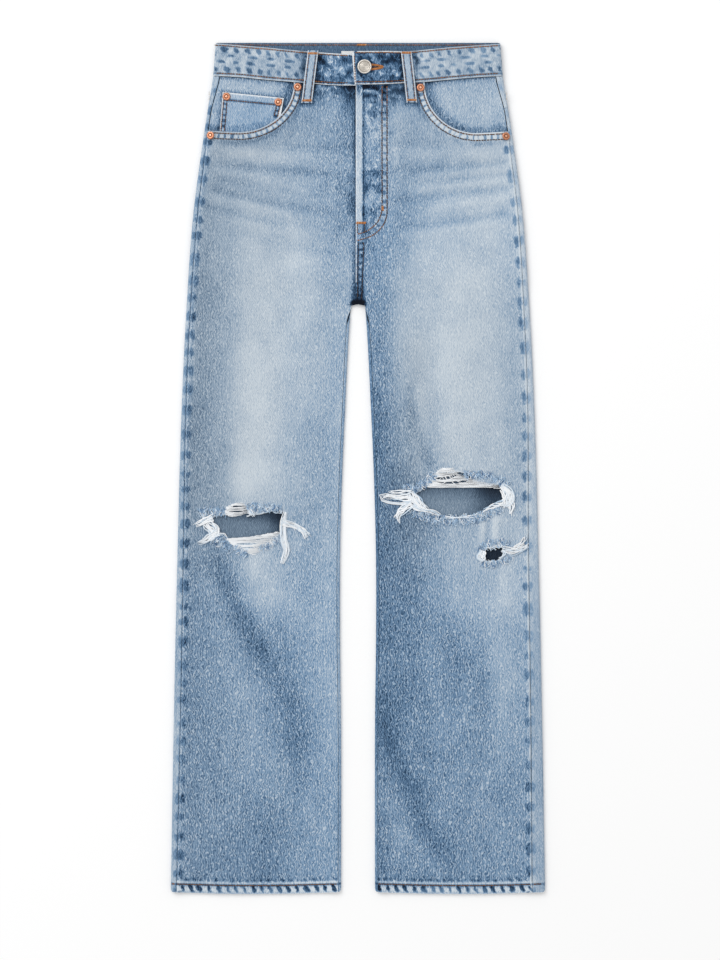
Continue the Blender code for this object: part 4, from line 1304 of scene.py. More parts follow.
def front_tone(side, x, y):
    tone = mix(inner_tones[side](y), outer_tones[side](y), smooth(0, 1, leg_part(x, y)))
    tone = tone + paleness(FRONT_WASH_AND_SHADE, x, y) + front_folds(x, y)[1]
    tone += 0.02 * lumps(x, y, 19, 31) + 0.012 * lumps(x, y, 8, 32)
    # A dark line of painted shade in the right leg's outseam and a pale line beside it, then pale
    # and dark lines round the pocket's stitches, and paler cloth round the rips.
    seam = outseam(side, y) - abs(x)
    tone -= (0.08 if side < 0 else 0.0) * near(seam, 0.1, 0.8)
    tone += (0.20 if side < 0 else 0.32) * near(seam, 1.8, 0.8) * (0.8 + 0.4 * lumps(x, y, 17, 35))
    beyond = beyond_scoop(side, x, y)
    tone += 0.24 * near(beyond, 5.6, 3.4)
    tone -= 0.15 * near(beyond, 12.5, 3.5) * (0.6 + 0.7 * lumps(x, y, 9, 33))
    for name in RIPPED[side]:
        away = np.maximum(0, rip_distance(name, x, y, 20))
        tone += 0.03 * fall(1, 8, away + 2.5 * lumps(x, y, 6, 34))
    # Painted shade under the band and round the loop, with pale wisps under the band's middle.
    under = band_bottom(side, x) - y
    centre = fall(30, 80, abs(x + 6))
    tone -= (0.10 + 0.18 * centre) * near(under, 1, 3.2) + 0.16 * centre * near(under, 8, 6.5)
    tone += centre * 0.10 * wisps(x, y, 5, 37) * near(under, 8, 9)
    tone -= 0.26 * near(beside_loop(side, x, y), 0.5, 3.2 + (x > 0)) * (y > 428)
    tone -= 0.05 * near(x, 43, 10) * smooth(430, 445, y)
    # The hem is worn pale, with dark slants above it.
    up = y - hem_line(x)
    tone += 0.25 * near(up, 4.2, 4.4) + 0.22 * near(up, 12.6, 2.1)
    tone -= 0.13 * near(up, 17.0, 2.2) * (0.5 + lumps(x + 0.8 * up, y, 6, 39))
    tone += 0.10 * near(up, 15.5, 3.5) * lumps(x + 0.7 * up, 0.3 * up, 3.6, 45)
    # Painted shadow at the crotch and beside the fly's edge; the fly's strip is worn pale.
    over = np.maximum(0, y - CROTCH)
    shade = 0.60 * fall(2, 9, over) + 0.26 * fall(6, 44, over)
    tone -= shade * fall(6, 11, abs(x)) * (y > CROTCH - 3)
    if side < 0:
        return tone - 0.26 * near(x, LAP_EDGE - 0.8, 3.0) * smooth(CROTCH, CROTCH + 20, y)
    fly = x - LAP_EDGE
    tone += 0.22 * smooth(FLY_END - 2, FLY_END + 2, y) * fall(FLY_WIDTH - 1, FLY_WIDTH + 0.5, fly)
    tone += 0.10 * near(x, 31.8, 2.0) * smooth(290, 310, y)
    tone -= 0.26 * near(fly, FLY_WIDTH + 1.3, 1.4) * smooth(FLY_END - 20, FLY_END, y)
    tone -= 0.20 * near(x, 9.5, 1.8) * near(y, 282, 16)
    tone += 0.07 * near(x, 18, 9) * smooth(285, 300, y) * lumps(x + 0.6 * y, 0.5 * (y - x), 5, 46)
    return tone + paleness(FLY_BLOTCHES, x + 2.4 * lumps(x, y, 6, 38), y + 7 * lumps(x, y, 9, 40))


def front_dull(side, x, y):
    """How grey the cloth is: most on the thighs, and least at the legs' inner edges."""
    t = leg_part(x, y)
    if side < 0:
        low, high = 0.02 + 0.34 * t, 0.25 + 0.58 * smooth(0, 1, t)
    else:
        low, high = 0.12, 0.48 - 0.33 * fall(22, 52, x) - 0.28 * near(y, 285, 75)
        # The left thigh's fold is greyer here, as part of its painted shade.
        high = high + 0.26 * near(x, 70, 18) * fall(140, 180, y)
    dull = mix(low, high, smooth(-170, -30, y)) * (1 - 0.4 * smooth(400, 450, y))
    return dull * smooth(0, 14, outer_edge(y) - abs(x))


def front_grain(side, x, y):
    """How strongly the threads show: least on the hips."""
    hip = smooth(190, 300, y) * smooth(20, 70, abs(x))
    return 1.06 - (0.20 if side > 0 else 0.16) * hip - 0.15 * smooth(395, 440, y)


def front_crackle(side, x, y):
    """How much the cloth is crackled: most under the middle of the band and on the fly."""
    centre = fall(30, 80, abs(x + 6)) * near(band_bottom(side, x) - y, 3, 13)
    fly = (side > 0) * smooth(5, 8, x) * fall(27, 30, x) * smooth(280, 300, y)
    return 0.30 * np.maximum(centre, 0.4 * fly)


OUTSEAM_PITCH = {-1: 23, 1: 26}  # between the ovals beside each outseam
HEM_STITCHED = {side: (moved(HEMS[side], HEM_ROW), 0.0) for side in (-1, 1)}


def front_marks(side, x, y):
    edges = [(scoop_line(side), 0.3), (HEMS[side], -1.2)]
    edges += [(rip_line(name), 0.0) for name in RIPPED[side]]
    rows = [*((scoop_line(side, out), -0.5) for out in SCOOP_ROWS), HEM_STITCHED[side]]
    ropes = [
        (scoop_line(side, 5.8), 0.26, 3.3, 7.2, 0),
        (moved(OUTSEAMS[side], side * 4.4), 0.19, 4.2, OUTSEAM_PITCH[side], 0),
        (moved(HEMS[side], 5.4), 0.46, 4.8, 10.7, SLANT),
        (moved(HEMS[side], 16.0), 0.15, 3.0, 9.0, SLANT),
    ]
    if side > 0:
        rows += [(line, -1.2) for line in FLY_ROWS] + [(line, 0.0) for line in CROTCH_ROWS]
        ropes.append((moved(FLY_INNER, 3.0), 0.20, 2.8, 8.0, 0))
        ropes.append((bar(3.6, 270, 2.0, 203, 4), 0.2, 2.8, 8.0, 0))
        edges.append((bar(LAP_EDGE, CROTCH + 26, LAP_EDGE, 459, 8), -0.8))
    return marks(x, y, edges, rows, ropes)


def front_panel(side, word):
    top = float(band_bottom(side, 0))
    runs = (-492, 1.3), (-128, 3.6), (8, 1.6), (188, 3.6), (200, 0.9), (396, 3.4), (top, 1.7)
    rows = spaced(HEM, *runs)
    columns = spaced(0, (10, 1.0), (42, 1.5), (188, 2.1), (200, 1.1))
    columns = columns / columns[-1]
    if side < 0:
        columns = 1 - columns[::-1]
    col, row = np.meshgrid(columns, rows)
    y = row
    for _ in range(SETTLE):
        x = mix(*front_limits(side, y), col)
        y = bend_row(row, x, hem_line, lambda at: band_bottom(side, at) - SEAM_GAP, HEM, top)
    points = np.stack([x, y, front_z(side, x, y)], -1).reshape(-1, 3)
    points, faces = clipped(points, grid_faces(*col.shape), beyond_scoop(side, *points.T[:2]))
    for name in RIPPED[side]:
        x, y = points.T[:2]
        ragged = rip_distance(name, x, y, 20) + 0.9 * lumps(x, y, 2.4, 36)
        points, faces = clipped(points, faces, ragged)
    x, y, _ = points.T
    crackle = front_crackle(side, x, y)
    looks = {
        "tone": front_tone(side, x, y) - 0.25 * crackle,
        "dull": front_dull(side, x, y),
        "grain": front_grain(side, x, y),
        "crackle": crackle,
        **front_marks(side, x, y),
    }
    cloth(f"front_panel_{word}", f"front_{word}", points, faces, CLOTH, looks, FRONT_INNER_TONE)


# ---- Backs and yokes ----


def back_z(side, x, y, z, top):
    """The back's outer face with its creases: they rise from the surface that it lies on."""
    floor = smooth(0, 10, outer_edge(y) - abs(x) - SIDE_FOLD) * ~top
    floor = floor * np.where(y < CROTCH, smooth(INNER_FOLD, 12, abs(x) - half_gap(y)), 1)
    dent = -creases(BACK_CREASES, abs(x), y + 3 * side)[0]
    up = y - hem_line(x)
    dent = dent + 0.14 * (1 + lumps(x, y, 15, 41)) + 0.22 * smooth(HEM_FOLD - 1, HEM_FOLD + 1, up)
    ripple = 0.16 * np.sin(y * TURN / 9 + 3 * lumps(x, y, 14, 42)) - 0.16
    return z + floor * dent * fall(200, 240, y) + top * ripple


def back_looks(side, x, y, top):
    """The looks of the back: top is where it shows from the front, folded round the edges."""
    tone = BACK_TONE + paleness(BACK_WASH, abs(x), y) + creases(BACK_CREASES, abs(x), y + 3 * side)[1]
    tone += 0.03 * lumps(x, y, 19, 43)
    outward = 0.66 if side < 0 else 0.73 - 0.07 * smooth(-60, -200, y)
    inner_half = abs(x) < (half_gap(y) + outer_edge(y)) / 2
    strip = np.where(inner_half, inner_tones[side](y) - 0.02, outward)
    strip = strip + 0.03 * lumps(x, y, 16, 44) + 0.08 * near(y - hem_edge(x), 12.4, 1.9)
    past = abs(x) - outseam(side, y)
    strip = strip + 0.05 * near(past, 2.6, 1.0) + 0.06 * side * near(past, 0.2, 0.9)
    middle = [(moved(bar(0, YOKE_TOP, 0, 203, 6), out), 0.0) for out in (-7, -2, 2, 7)]
    hem_rope = (moved(HEMS[side], 5.4), 0.30, 4.8, 10.7, SLANT)
    below = marks(x, y, [(HEMS[side], 0.0)], [HEM_STITCHED[side], *middle], [hem_rope])
    seam = moved(OUTSEAMS[side], -side * 1.5)
    seam_rope = (seam, 0.14 if side < 0 else 0.10, 3.0, OUTSEAM_PITCH[side], 0)
    above = marks(x, y, [(HEMS[side], -1.2)], [HEM_STITCHED[side]], [seam_rope])
    return {
        **{key: np.where(top, above[key], below[key]) for key in below},
        "tone": np.where(top, strip, tone),
        "dull": np.where(top & (past > 0), 0.35, 0.0),
        "grain": np.where(top, 0.7, 1.0),
    }


def back_inside(side, x, y):
    """The back's inside, seen through the rips: painted shade under their upper and outer edges and
    in the shin's hole.
    """
    if side < 0:
        return 0.45 - 0.17 * smooth(-68, -54, y + 0.12 * (x + 125)) - 0.17 * smooth(-116, -92, x)
    tone = 0.52 - 0.18 * smooth(-42, -20, y) - 0.26 * smooth(124, 164, x)
    return np.where((x > 140) & (y < -75), 0.10, tone)


def back_piece(name, node, side, rows, low_line, high_line):
    runs = ((0, 16), (1, 46), (2, 11))
    stations = [(0, 0.0)]
    stations += [(stretch, t) for stretch, count in runs for t in np.linspace(0, 1, count + 1)[1:]]
    stretch, t = np.array(stations[::side]).T[:, None].repeat(len(rows), 1)
    stretch = stretch.astype(int)
    y = row = np.array(rows)[:, None] + 0 * t
    for _ in range(SETTLE):
        x, z = back_section(side, y, stretch, t)
        y = bend_row(row, x, low_line, high_line, rows[0], rows[-1])
    fold = np.choose(stretch, [SIDE_FOLD, math.inf, INNER_FOLD])
    x, y, z, top = side * x.ravel(), y.ravel(), z.ravel(), (z > ground(y) + fold).ravel()
    points = np.stack([x, y, back_z(side, x, y, z, top)], -1)
    looks, inside_tone = back_looks(side, x, y, top), back_inside(side, x, y)
    cloth(name, node, points, grid_faces(*t.shape), CLOTH, looks, inside_tone)


def back(side, word):
    rows = (-490, 2), (150, 5), (170, 3), (193, 2.3), (199, 0.7), (240, 4), (YOKE_MIDDLE, 6)
    low, high = (lambda x: yoke_seam(x) - GAP / 2), (lambda x: yoke_seam(x) + GAP / 2)
    back_piece(f"back_panel_{word}", f"back_{word}", side, spaced(HEM, *rows), hem_edge, low)
    rows = spaced(YOKE_MIDDLE, (YOKE_TOP, 3.5))
    back_piece(f"back_yoke_{word}", f"yoke_{word}", side, rows, high, lambda x: YOKE_TOP + 0 * x)


# ---- Pockets of the front ----


def facing(side, word):
    start = SCOOPS[side][0] - FACING_HEM + 3
    col, row = np.meshgrid(np.linspace(0, 1, 76)[::side], np.linspace(0, 1, 44))
    y = BACK_BAND_BOTTOM + 0 * row
    for _ in range(SETTLE):
        x = mix(start, outseam(side, y) - 2 * SEAM_GAP, col)
        y = mix(scoop_edge(side, side * x, FACING_HEM), band_bottom(side, x) - SEAM_GAP, row)
    x, y = (side * x).ravel(), y.ravel()
    beyond = beyond_scoop(side, x, y)
    # Painted shade: darker towards the scoop's edge, under the band, towards its inner end and
    # round the coin pocket.
    tone = 0.70 - 0.20 * smooth(-13, -2, beyond + 3 * lumps(x, y, 11, 55))
    tone += 0.03 * lumps(x, y, 17, 52)
    tone -= 0.18 * near(band_bottom(side, x) - y, 0, 4.0)
    tone -= 0.09 * fall(84, 112, side * x + 0.35 * (y - 440))
    if side < 0:
        away = np.where(inside(COIN_OUTLINE, x, y), 0, track(COIN_OUTLINE, x, y, FAR)[0])
        tone -= 0.20 * near(away, 0, 3.2)
    looks = {"tone": tone, "dull": 0.28, **marks(x, y)}
    points = np.stack([x, y, lower_front(side, x, y) + 0.14 * lumps(x, y, 12, 51)], -1)
    name = f"pocket_facing_{word}"
    cloth(name, f"facing_{word}", points, grid_faces(*col.shape), CLOTH, looks, INNER_TONE)


def coin_z(x, y):
    away, _ = track(COIN_TOP, x, y, 20)
    hem = 0.4 * fall(8.2, 9.4, away)
    return lower_front(-1, x, y) + LAYER + hem + 0.1 * lumps(x, y, 9, 54)


def coin_pocket():
    (high_left, top_left), (high_right, top_right) = COIN_HIGH
    col, row = np.meshgrid(np.linspace(0, 1, 64), np.linspace(0, 1, 40))
    low_x = mix(*COIN_LOW_X, col)
    x = mix(low_x, mix(high_left, high_right, col), row).ravel()
    y = mix(scoop_edge(-1, low_x, COIN_HEM), mix(top_left, top_right, col), row).ravel()
    tone = 0.67 + 0.03 * fall(8, 9.5, track(COIN_TOP, x, y, 20)[0]) + 0.03 * lumps(x, y, 10, 53)
    # Painted shade: darker towards the scoop's edge, which lies over the pocket.
    tone -= 0.10 * smooth(-14, -3, beyond_scoop(-1, x, y) + 3 * lumps(x, y, 11, 56))
    edges = [(line, 0.0) for line in (COIN_LEFT, COIN_RIGHT, COIN_TOP)]
    rows = [(moved(line, out * row), -0.5) for line, out in COIN_SIDES for row in COIN_ROWS]
    rows.append((moved(COIN_TOP, COIN_HEM_ROW), 0.0))
    ropes = [(moved(line, out * 4.1), 0.22, 2.6, 7.0, 0) for line, out in COIN_SIDES]
    looks = {"tone": tone, "grain": 0.75, **marks(x, y, edges, rows, ropes)}
    points = np.stack([x, y, coin_z(x, y)], -1)
    name = "coin_pocket_sheet"
    cloth(name, "coin_pocket", points, grid_faces(*col.shape), CLOTH, looks, INNER_TONE)


# ---- Waistband ----

BAND = "waistband_sheet"
TAB_CORNER = 4.5  # radius of the fly tab's top corner
LOOP_SHADES = (-57.5, 61)  # x of the loops, beside which shade is painted on the band


def band_shape():
    """(points, the stretch that each is in, faces) of the band's outer face. The stretches are the
    right of the front, its bend, the back, the bend and the left, which ends at the fly."""
    radius = (BAND_TOP - LAYER) / 2
    half = float(outer_edge(WAIST_TOP)) - radius
    bend = np.linspace(0, math.pi, 13)[1:-1]
    right = spaced(BAND_RIGHT_END, (-half, 1.5))
    behind = spaced(-half, (half, 2.4))
    left = spaced(half, (BAND_LEFT_END, 1.5))
    runs = [
        (right, band_face(-1, right)),
        (-half - radius * np.sin(bend), LAYER + radius * (1 + np.cos(bend))),
        (behind, LAYER + 0 * behind),
        (half + radius * np.sin(bend), LAYER + radius * (1 - np.cos(bend))),
        (left, band_face(1, left)),
    ]
    x, z = (np.concatenate(part)[::-1] for part in zip(*runs))
    stretch = np.repeat(np.arange(5), [len(run) for run, _ in runs])[::-1]
    row = np.linspace(0, 1, 27)[:, None]
    side = np.where(stretch < 2, -1, 1)
    reach = np.maximum(0, side * x)
    low, high = (np.where(side < 0, f(-1, reach), f(1, reach)) for f in (band_bottom, band_top))
    t = np.where(stretch == 2, 0, smooth(LAYER, BAND_TOP, z))
    low, high = mix(BACK_BAND_BOTTOM, low, t), mix(WAIST_TOP, high, t)
    flare = float(outer_edge(BACK_BAND_BOTTOM) / outer_edge(WAIST_TOP)) - 1
    tab = (stretch == 4) * fall(BAND_LEFT_END, 26, x)
    x = x * (1 + flare * (1 - row)) + tab * (2.4 * (1 - row) ** 2 - 1.2 * row**2)
    y = mix(low, high, row)
    z = z + t * band_pillow(row + 0 * x, x) + (1 - t) * 0.1 * (1 + lumps(x, y, 12, 61))
    tagged = np.stack([x, y, z, stretch + 0 * x], -1).reshape(-1, 4)
    x, y, _, stretch = tagged.T
    corner_x = BAND_LEFT_END - 1.2 + TAB_CORNER
    corner_y = float(band_top(1, 0)) - TAB_CORNER
    corner = TAB_CORNER - np.hypot(np.maximum(0, corner_x - x), np.maximum(0, y - corner_y))
    field = np.where((stretch == 4) & (x < corner_x), corner, 1.0)
    tagged, faces = clipped(tagged, grid_faces(len(row), len(side)), field)
    return tagged[:, :3], tagged[:, 3], faces


def band_marks(side, x, y):
    edges = band_top, band_bottom
    top, bottom = (level(lambda at: edge(side, at), 0, side * 182) for edge in edges)
    edges = [(top, -0.2), (bottom, -0.6)]
    if side > 0:
        edges.append((bar(BAND_LEFT_END - 1, 496, BAND_LEFT_END + 1.4, 459, 4), 1.0))
    ropes = [
        (moved(top, -6.6), 0.28, 4.0, 12.4, SLANT),
        (moved(bottom, 8.2), 0.27, 4.2, 12.0, SLANT),
        (moved(top, -13.4), 0.22, 2.3, 23, SLANT),
        (moved(top, -21), 0.22, 2.3, 19, SLANT),
    ]
    return marks(x, y, edges, [(moved(top, -1.8), -0.3), (moved(bottom, 2.8), -0.3)], ropes)


def waistband():
    points, stretch, faces = band_shape()
    x, y, z = points.T
    shown = (stretch != 2) & (z > LAYER + 3)
    bare, right, left = marks(x, y), band_marks(-1, x, y), band_marks(1, x, y)
    way = [~shown, stretch < 2]
    looks = {key: np.select(way, [bare[key], right[key]], left[key]) for key in bare}
    plain = smooth(44, 70, abs(x - 2))
    looks["deep"] = looks["deep"] * mix(0.4, 1.0, plain)
    tone = 0.69 + 0.03 * lumps(x, y, 13, 62) + 0.10 * wisps(x, y, 6, 63)
    tone -= mix(0.24, 0.31, smooth(8, 24, x)) * (1 - plain) * (1 + 0.4 * lumps(x, y, 8, 65))
    tone += paleness(BAND_BLOTCHES, x + 1.2 * lumps(x, y, 5, 64), y)
    # Painted shade on the band beside its front loops and round the button.
    for loop_x in LOOP_SHADES:
        tone -= 0.22 * near(abs(x - loop_x), 8.5, 3.4)
    tone -= 0.22 * near(np.hypot(x - BUTTON_AT[0], y - BUTTON_AT[1]), 10, 3.4)
    looks["tone"] = np.where(shown, tone, BACK_TONE)
    looks["dull"], looks["grain"] = 0.6 * plain, 0.75
    looks["crackle"] = mix(0.28, 0.06, plain) * shown
    inner, wall = (BAND_INNER_TONE, BAND_INNER_DULL), BAND_CLOTH - GAP
    cloth(BAND, "waistband", points, faces, wall, looks, *inner)


# ---- Loops, back pockets, label ----


def uppermost(side, x, y):
    """The height of what a front loop or a rivet lies on."""
    opening = lower_front(side, x, y) + (LAYER if side < 0 else 0)
    top = np.where(beyond_scoop(side, x, y) < 0, opening, front_top(side, x, y))
    bottom = band_bottom(side, x)
    return mix(top, band_face(side, x), smooth(bottom - 8, bottom - 1.5, y))


def loop_z(side, x, y):
    t, away = loop_part(side, x, y)
    across = 2 * away / LOOP_WIDTH
    rise = LAYER + LOOP_ARCH * np.sin(math.pi * t) ** 2
    return uppermost(side, x, y) + rise - 0.5 * smooth(0.8, 1.0, across) + 0.18 * np.cos(across * 4)


def belt_loop(word, ends, heights, tone, flip=1):
    """A belt loop, as a strip between its two ends."""
    x_low, y_low, x_high, y_high = ends
    col, row = np.meshgrid(np.linspace(-0.5, 0.5, 15), np.linspace(0, 1, 52))
    x = (mix(x_low, x_high, row) + col * LOOP_WIDTH).ravel()
    y = mix(y_low, y_high, row).ravel()
    points = np.stack([x, y, heights(x, y)], -1)
    faces = [face[::flip] for face in grid_faces(*col.shape)]
    middle, sides = bar(*ends, 6), (-1, 1)
    edges = [(moved(middle, side * LOOP_WIDTH / 2), 0.0) for side in sides]
    rows = [(moved(middle, side * LOOP_ROW), -0.5) for side in sides]
    looks = marks(x, y, edges, rows, [(line, 0.12, 2.2, 8.0, 0) for line, _ in rows])
    looks |= {"tone": tone + 0.03 * lumps(x, y, 8, 71), "dull": 0.3, "grain": 0.7}
    cloth(f"belt_loop_{word}", f"loop_{word}", points, faces, CLOTH, looks, INNER_TONE)


POCKET_ROWS, POCKET_HEM = (2.0, 7.0), 11  # how far in from the pocket's sides and from its top
POCKET_REACH = 99  # farther than any of its points is from its edge


def pocket_rows(corners):
    """Two rows of stitches round the sides of a back pocket, and one across its hem."""
    middle = corners.mean(0)
    found = []
    for inset in POCKET_ROWS:
        inward = middle - corners
        nearer = corners + inward / np.linalg.norm(inward, axis=1)[:, None] * inset * 1.2
        found.append(np.vstack([bar(*a, *b, 2)[:-1] for a, b in zip(nearer, nearer[1:])]))
    (x0, y0), (x1, y1) = corners[0], corners[-1]
    inward, hem = 1.5 * np.sign(x0), POCKET_HEM
    found.append(bar(x0 + inward, y0 - hem, x1 - inward, y1 - hem, 2))
    return found


def back_pocket(side, word):
    outline = BACK_POCKET * (side, 1)
    low, high = outline.min(0) - 2, outline.max(0) + 2
    col, row = np.meshgrid(*(spaced(a, (b, 3)) for a, b in zip(low, high)))
    x, y = col.ravel(), row.ravel()
    ring = np.vstack([outline, outline[:1]])
    ring = np.vstack([bar(*a, *b, 4)[:-1] for a, b in zip(ring, ring[1:])] + [ring[:1]])
    away, _ = track(ring, x, y, POCKET_REACH)
    field = np.where(inside(outline, x, y), away, -away)
    points, faces = clipped(np.stack([x, y, 0 * x], -1), grid_faces(*col.shape), field)
    x, y, _ = points.T
    rows = [(line, 0.0) for line in pocket_rows(outline)]
    looks = marks(x, y, [(ring, 0.0)], rows, [(rows[0][0], 0.14, 3.2, 9.0, 0)])
    away, _ = track(ring, x, y, POCKET_REACH)
    looks["tone"] = 0.60 + 0.08 * smooth(8, 40, away) + 0.03 * lumps(x, y, 16, 72)
    faces = [face[::-1] for face in faces]
    name = f"back_pocket_sheet_{word}"
    cloth(name, f"back_pocket_{word}", points, faces, CLOTH, looks, INNER_TONE)


def label_piece():
    width, length, thick = LABEL_SIZE
    col, row = np.meshgrid(np.linspace(-0.5, 0.5, 20), np.linspace(-0.5, 0.5, 25))
    x, y = (LABEL_AT[0] + col * width).ravel(), (LABEL_AT[1] + row * length).ravel()
    top = LAYER + BAND_CLOTH + GAP + thick
    points = np.stack([x, y, top + 0.1 * lumps(x, y, 7, 73)], -1)
    points, faces = thickened(points, grid_faces(*col.shape), thick)
    placed(new_object("care_label", points, faces, LABEL), "label")


# ---- Metal ----


def turned(name, node, profile, steps, material, at, lean=0.0):
    """A turned piece from its profile: (radius, height, how bright) down its outer side."""
    radius, height, bright = np.array(profile).T
    angle = TURN * np.arange(steps) / steps
    x, y = radius[:, None] * np.cos(angle), radius[:, None] * np.sin(angle)
    z, tilt = height[:, None] + 0 * x, math.radians(lean)
    x, z = x * math.cos(tilt) + z * math.sin(tilt), z * math.cos(tilt) - x * math.sin(tilt)
    points = (np.stack([x, y, z], -1) + at).reshape(-1, 3)
    faces = []
    for k in range(0, (len(profile) - 1) * steps, steps):
        for s in range(steps):
            n = (s + 1) % steps
            faces.append((k + s, k + steps + s, k + steps + n, k + n))
    last = len(profile) * steps - 1
    faces += [tuple(range(steps)), tuple(range(last, last - steps, -1))]
    shade = np.repeat(bright, steps)
    placed(new_object(name, points, faces, material, math.radians(35), shade=shade), node)


# The button's rim and the rivets: part of the radius, height and how bright, down the outer side.
BUTTON_RIM = (
    (0.75, 2.35, 0.3), (0.79, 2.4, 0.35), (0.83, 2.95, 0.8), (0.88, 3.1, 0.85), (0.94, 3.0, 0.8),
    (0.985, 2.7, 0.65), (1, 2.3, 0.5), (0.96, 1.6, 0.4), (0.6, 0.8, 0.3), (0.5, 0.0, 0.2),
)
RIVET_FORM = (
    (0.2, 1.28, 0.9), (0.31, 1.15, 0.75), (0.36, 0.8, 0.25), (0.44, 0.7, 0.2), (0.55, 0.86, 0.5),
    (0.7, 0.98, 0.7), (0.85, 0.9, 0.6), (0.96, 0.6, 0.45), (1, 0.3, 0.3), (0.98, 0.0, 0.2),
)
BUTTON_RINGS = 24  # fine rings in the middle of the button


def metals():
    r = BUTTON_RADIUS
    profile = [(0.02, 2.62, 0.55)]
    for k in range(1, BUTTON_RINGS + 1):
        up = (-1) ** k
        profile.append((0.72 * r * k / BUTTON_RINGS, 2.62 + 0.06 * up, 0.62 + 0.10 * up))
    profile += [(part * r, height, bright) for part, height, bright in BUTTON_RIM]
    at = *BUTTON_AT, float(band_face(1, BUTTON_AT[0])) + GAP
    turned("jeans_button", "button", profile, 72, NICKEL, at)
    r = RIVET_RADIUS
    profile = [(0.02, 1.3, 0.95)]
    profile += [(part * r, height, bright) for part, height, bright in RIVET_FORM]
    angle = TURN * np.arange(12) / 12
    for number, (x, y, lean) in enumerate(RIVETS, 1):
        rim = np.append(x + r * np.cos(angle), x), np.append(y + r * np.sin(angle), y)
        lift = float(uppermost(1 if x > 0 else -1, *rim).max()) + GAP
        at = x, y, lift + abs(math.sin(math.radians(lean))) * r
        turned(f"copper_rivet_{number}", f"rivet_{number}", profile, 40, COPPER, at, lean)


# ---- Sewing ----


def flat(height):
    return lambda x, y: height + 0 * x


LOW = flat(0.12)  # the stitches of the back, just in its cloth


def under_z(_, y):
    """The height of stitches on the underside, where the back lies on the ground."""
    return ground(y) + 0.12


def sew_front(side, word):
    group = f"front_{word}"
    for out, shade in zip(SCOOP_ROWS, (BROWN, GREY + 0.08)):
        stitch(group, scoop_line(side, out), face_z, shade, 3.3, 2.8, thick=1.2)
    seam = outseam(side, HEM)
    for start, end, height in (
        (half_gap(HEM) + INSEAM_INSET + 1, seam - 1, face_z),
        (seam + 1, outer_edge(HEM) - 1.5, flat(2 * SIDE_FOLD)),
    ):
        row = level(lambda x: hem_line(x) + HEM_ROW, side * start, side * end)
        stitch(group, row, height, BROWN - 0.02, 3.2, 2.9, thick=1.25)
    if side > 0:
        for line in FLY_ROWS:
            stitch(group, line, face_z, BROWN + 0.1, start=0, end=24)
            stitch(group, line, face_z, GREY + 0.12, 3.0, 2.7, 24, 168, 1.25)
            stitch(group, line, face_z, BROWN + 0.1, start=168, thick=1.1)
        for line in CROTCH_ROWS:
            stitch(group, line, face_z, GREY, 2.7, 2.3)
        tack(group, bar(-1.8, 294, 9.6, 294), 2.4, face_z)
        tack(group, bar(29.4, 314.5, 29.4, 309), 2.6, face_z)
        for x, shade in ((-0.6, BROWN), (8.0, GREY)):
            stitch(group, bar(x, 292, x, 281), face_z, shade, 2.6, 2.2)
    stitch(group, bar(side * 178, 452, side * 178, 440), face_z, WHITE, 2.8, 2.2)


def sew_coin():
    for line, out in COIN_SIDES:
        for row in COIN_ROWS:
            stitch("coin_pocket", moved(line, out * row), coin_z, BROWN, 2.8, 2.3)
    stitch("coin_pocket", moved(COIN_TOP, COIN_HEM_ROW), coin_z, BROWN, 2.8, 2.3, 2)


def sew_band():
    for side, end in ((-1, BAND_LEFT_END - 3.0), (1, BAND_LEFT_END + 2.4)):
        for edge, up, shade, thick in ((band_top, -2.0, 0.10, 1.15), (band_bottom, 3.0, 0.04, 1.1)):
            row = level(lambda at: edge(side, np.maximum(0, side * at)) + up, side * 170.0, end, 3)
            stitch("waistband", row, band_z, BROWN + shade, 3.3, 2.8, thick=thick)
    end_row = bar(BAND_LEFT_END + 1.6, 494, BAND_LEFT_END + 2.6, 463)
    stitch("waistband", end_row, band_z, BROWN + 0.08)
    inner = LAYER + BAND_CLOTH
    stitch("waistband", bar(-166, 507.4, 166, 507.4, 4), flat(inner), BROWN + 0.1)
    tack("waistband", bar(-1, 507.6, 10, 507.6), 2.0, flat(inner + 0.2))
    for y in (WAIST_TOP - 2.2, BACK_BAND_BOTTOM + 2.6):
        stitch("waistband", bar(-172, y, 172, y, 4), flat(LAYER - 0.1))
    # The buttonhole, stitched round, with near-black stitches along its slit as its painted shadow.
    hole = ((8, 2.6), (13, 2.2), (18, 1.3), (22, 0), (18, -1.4), (13, -2.3), (8, -2.7))
    tack("waistband", rounded(np.array(hole) + BUTTON_AT, 1), 2.3, band_z, ORANGE - 0.05, 0.5)
    x, y = BUTTON_AT
    slit = bar(x + 8, y, x + 17, y, 2)
    stitch("waistband", slit, lambda x, y: band_z(x, y) + 0.15, SLIT_SHADOW, 1.6, 2.0)


def sew_loop(middle, height, last, tacks):
    """The two rows of a belt loop, and its bar tacks at these points."""
    for out in (-1, 1):
        stitch("loops", moved(middle, out * LOOP_ROW), height, BROWN, 2.8, 2.3, 4, last)
    for x, y in tacks:
        tack("loops", bar(x - 5.4, y, x + 5.4, y), 2.3, height, pitch=0.6)


def sew_loops():
    for side, ends in FRONT_LOOPS.items():
        middle = bar(*ends, 3)
        tacks = zip(*at_line(middle, lengths(middle), (3.0, 59.5)))
        sew_loop(middle, lambda x, y: loop_z(side, x, y), 59, tacks)
    for _, x_low, y_low, x_high, y_high in BACK_LOOPS:
        tacks = (x_low, y_low + 2.5), (x_high, y_high - 2.5)
        sew_loop(bar(x_low, y_low, x_high, y_high, 3), LOW, 61, tacks)


def sew_back(side, word):
    group = f"back_{word}"
    stitch(group, moved(HEMS[side], HEM_ROW), under_z, start=4, end=200)
    for out in (8.0, 3.0):
        x = spaced(3, (174, 6))
        stitch(group, np.stack([side * x, yoke_seam(x) + out], 1), under_z)
    for out in (2.0, 7.0):
        for high, low in ((395, 206), (466, 402)):
            stitch(group, bar(side * out, high, side * out, low, 6), under_z)
    for line in pocket_rows(BACK_POCKET * (side, 1)):
        stitch(group, line, LOW)


# ---- Torn threads ----

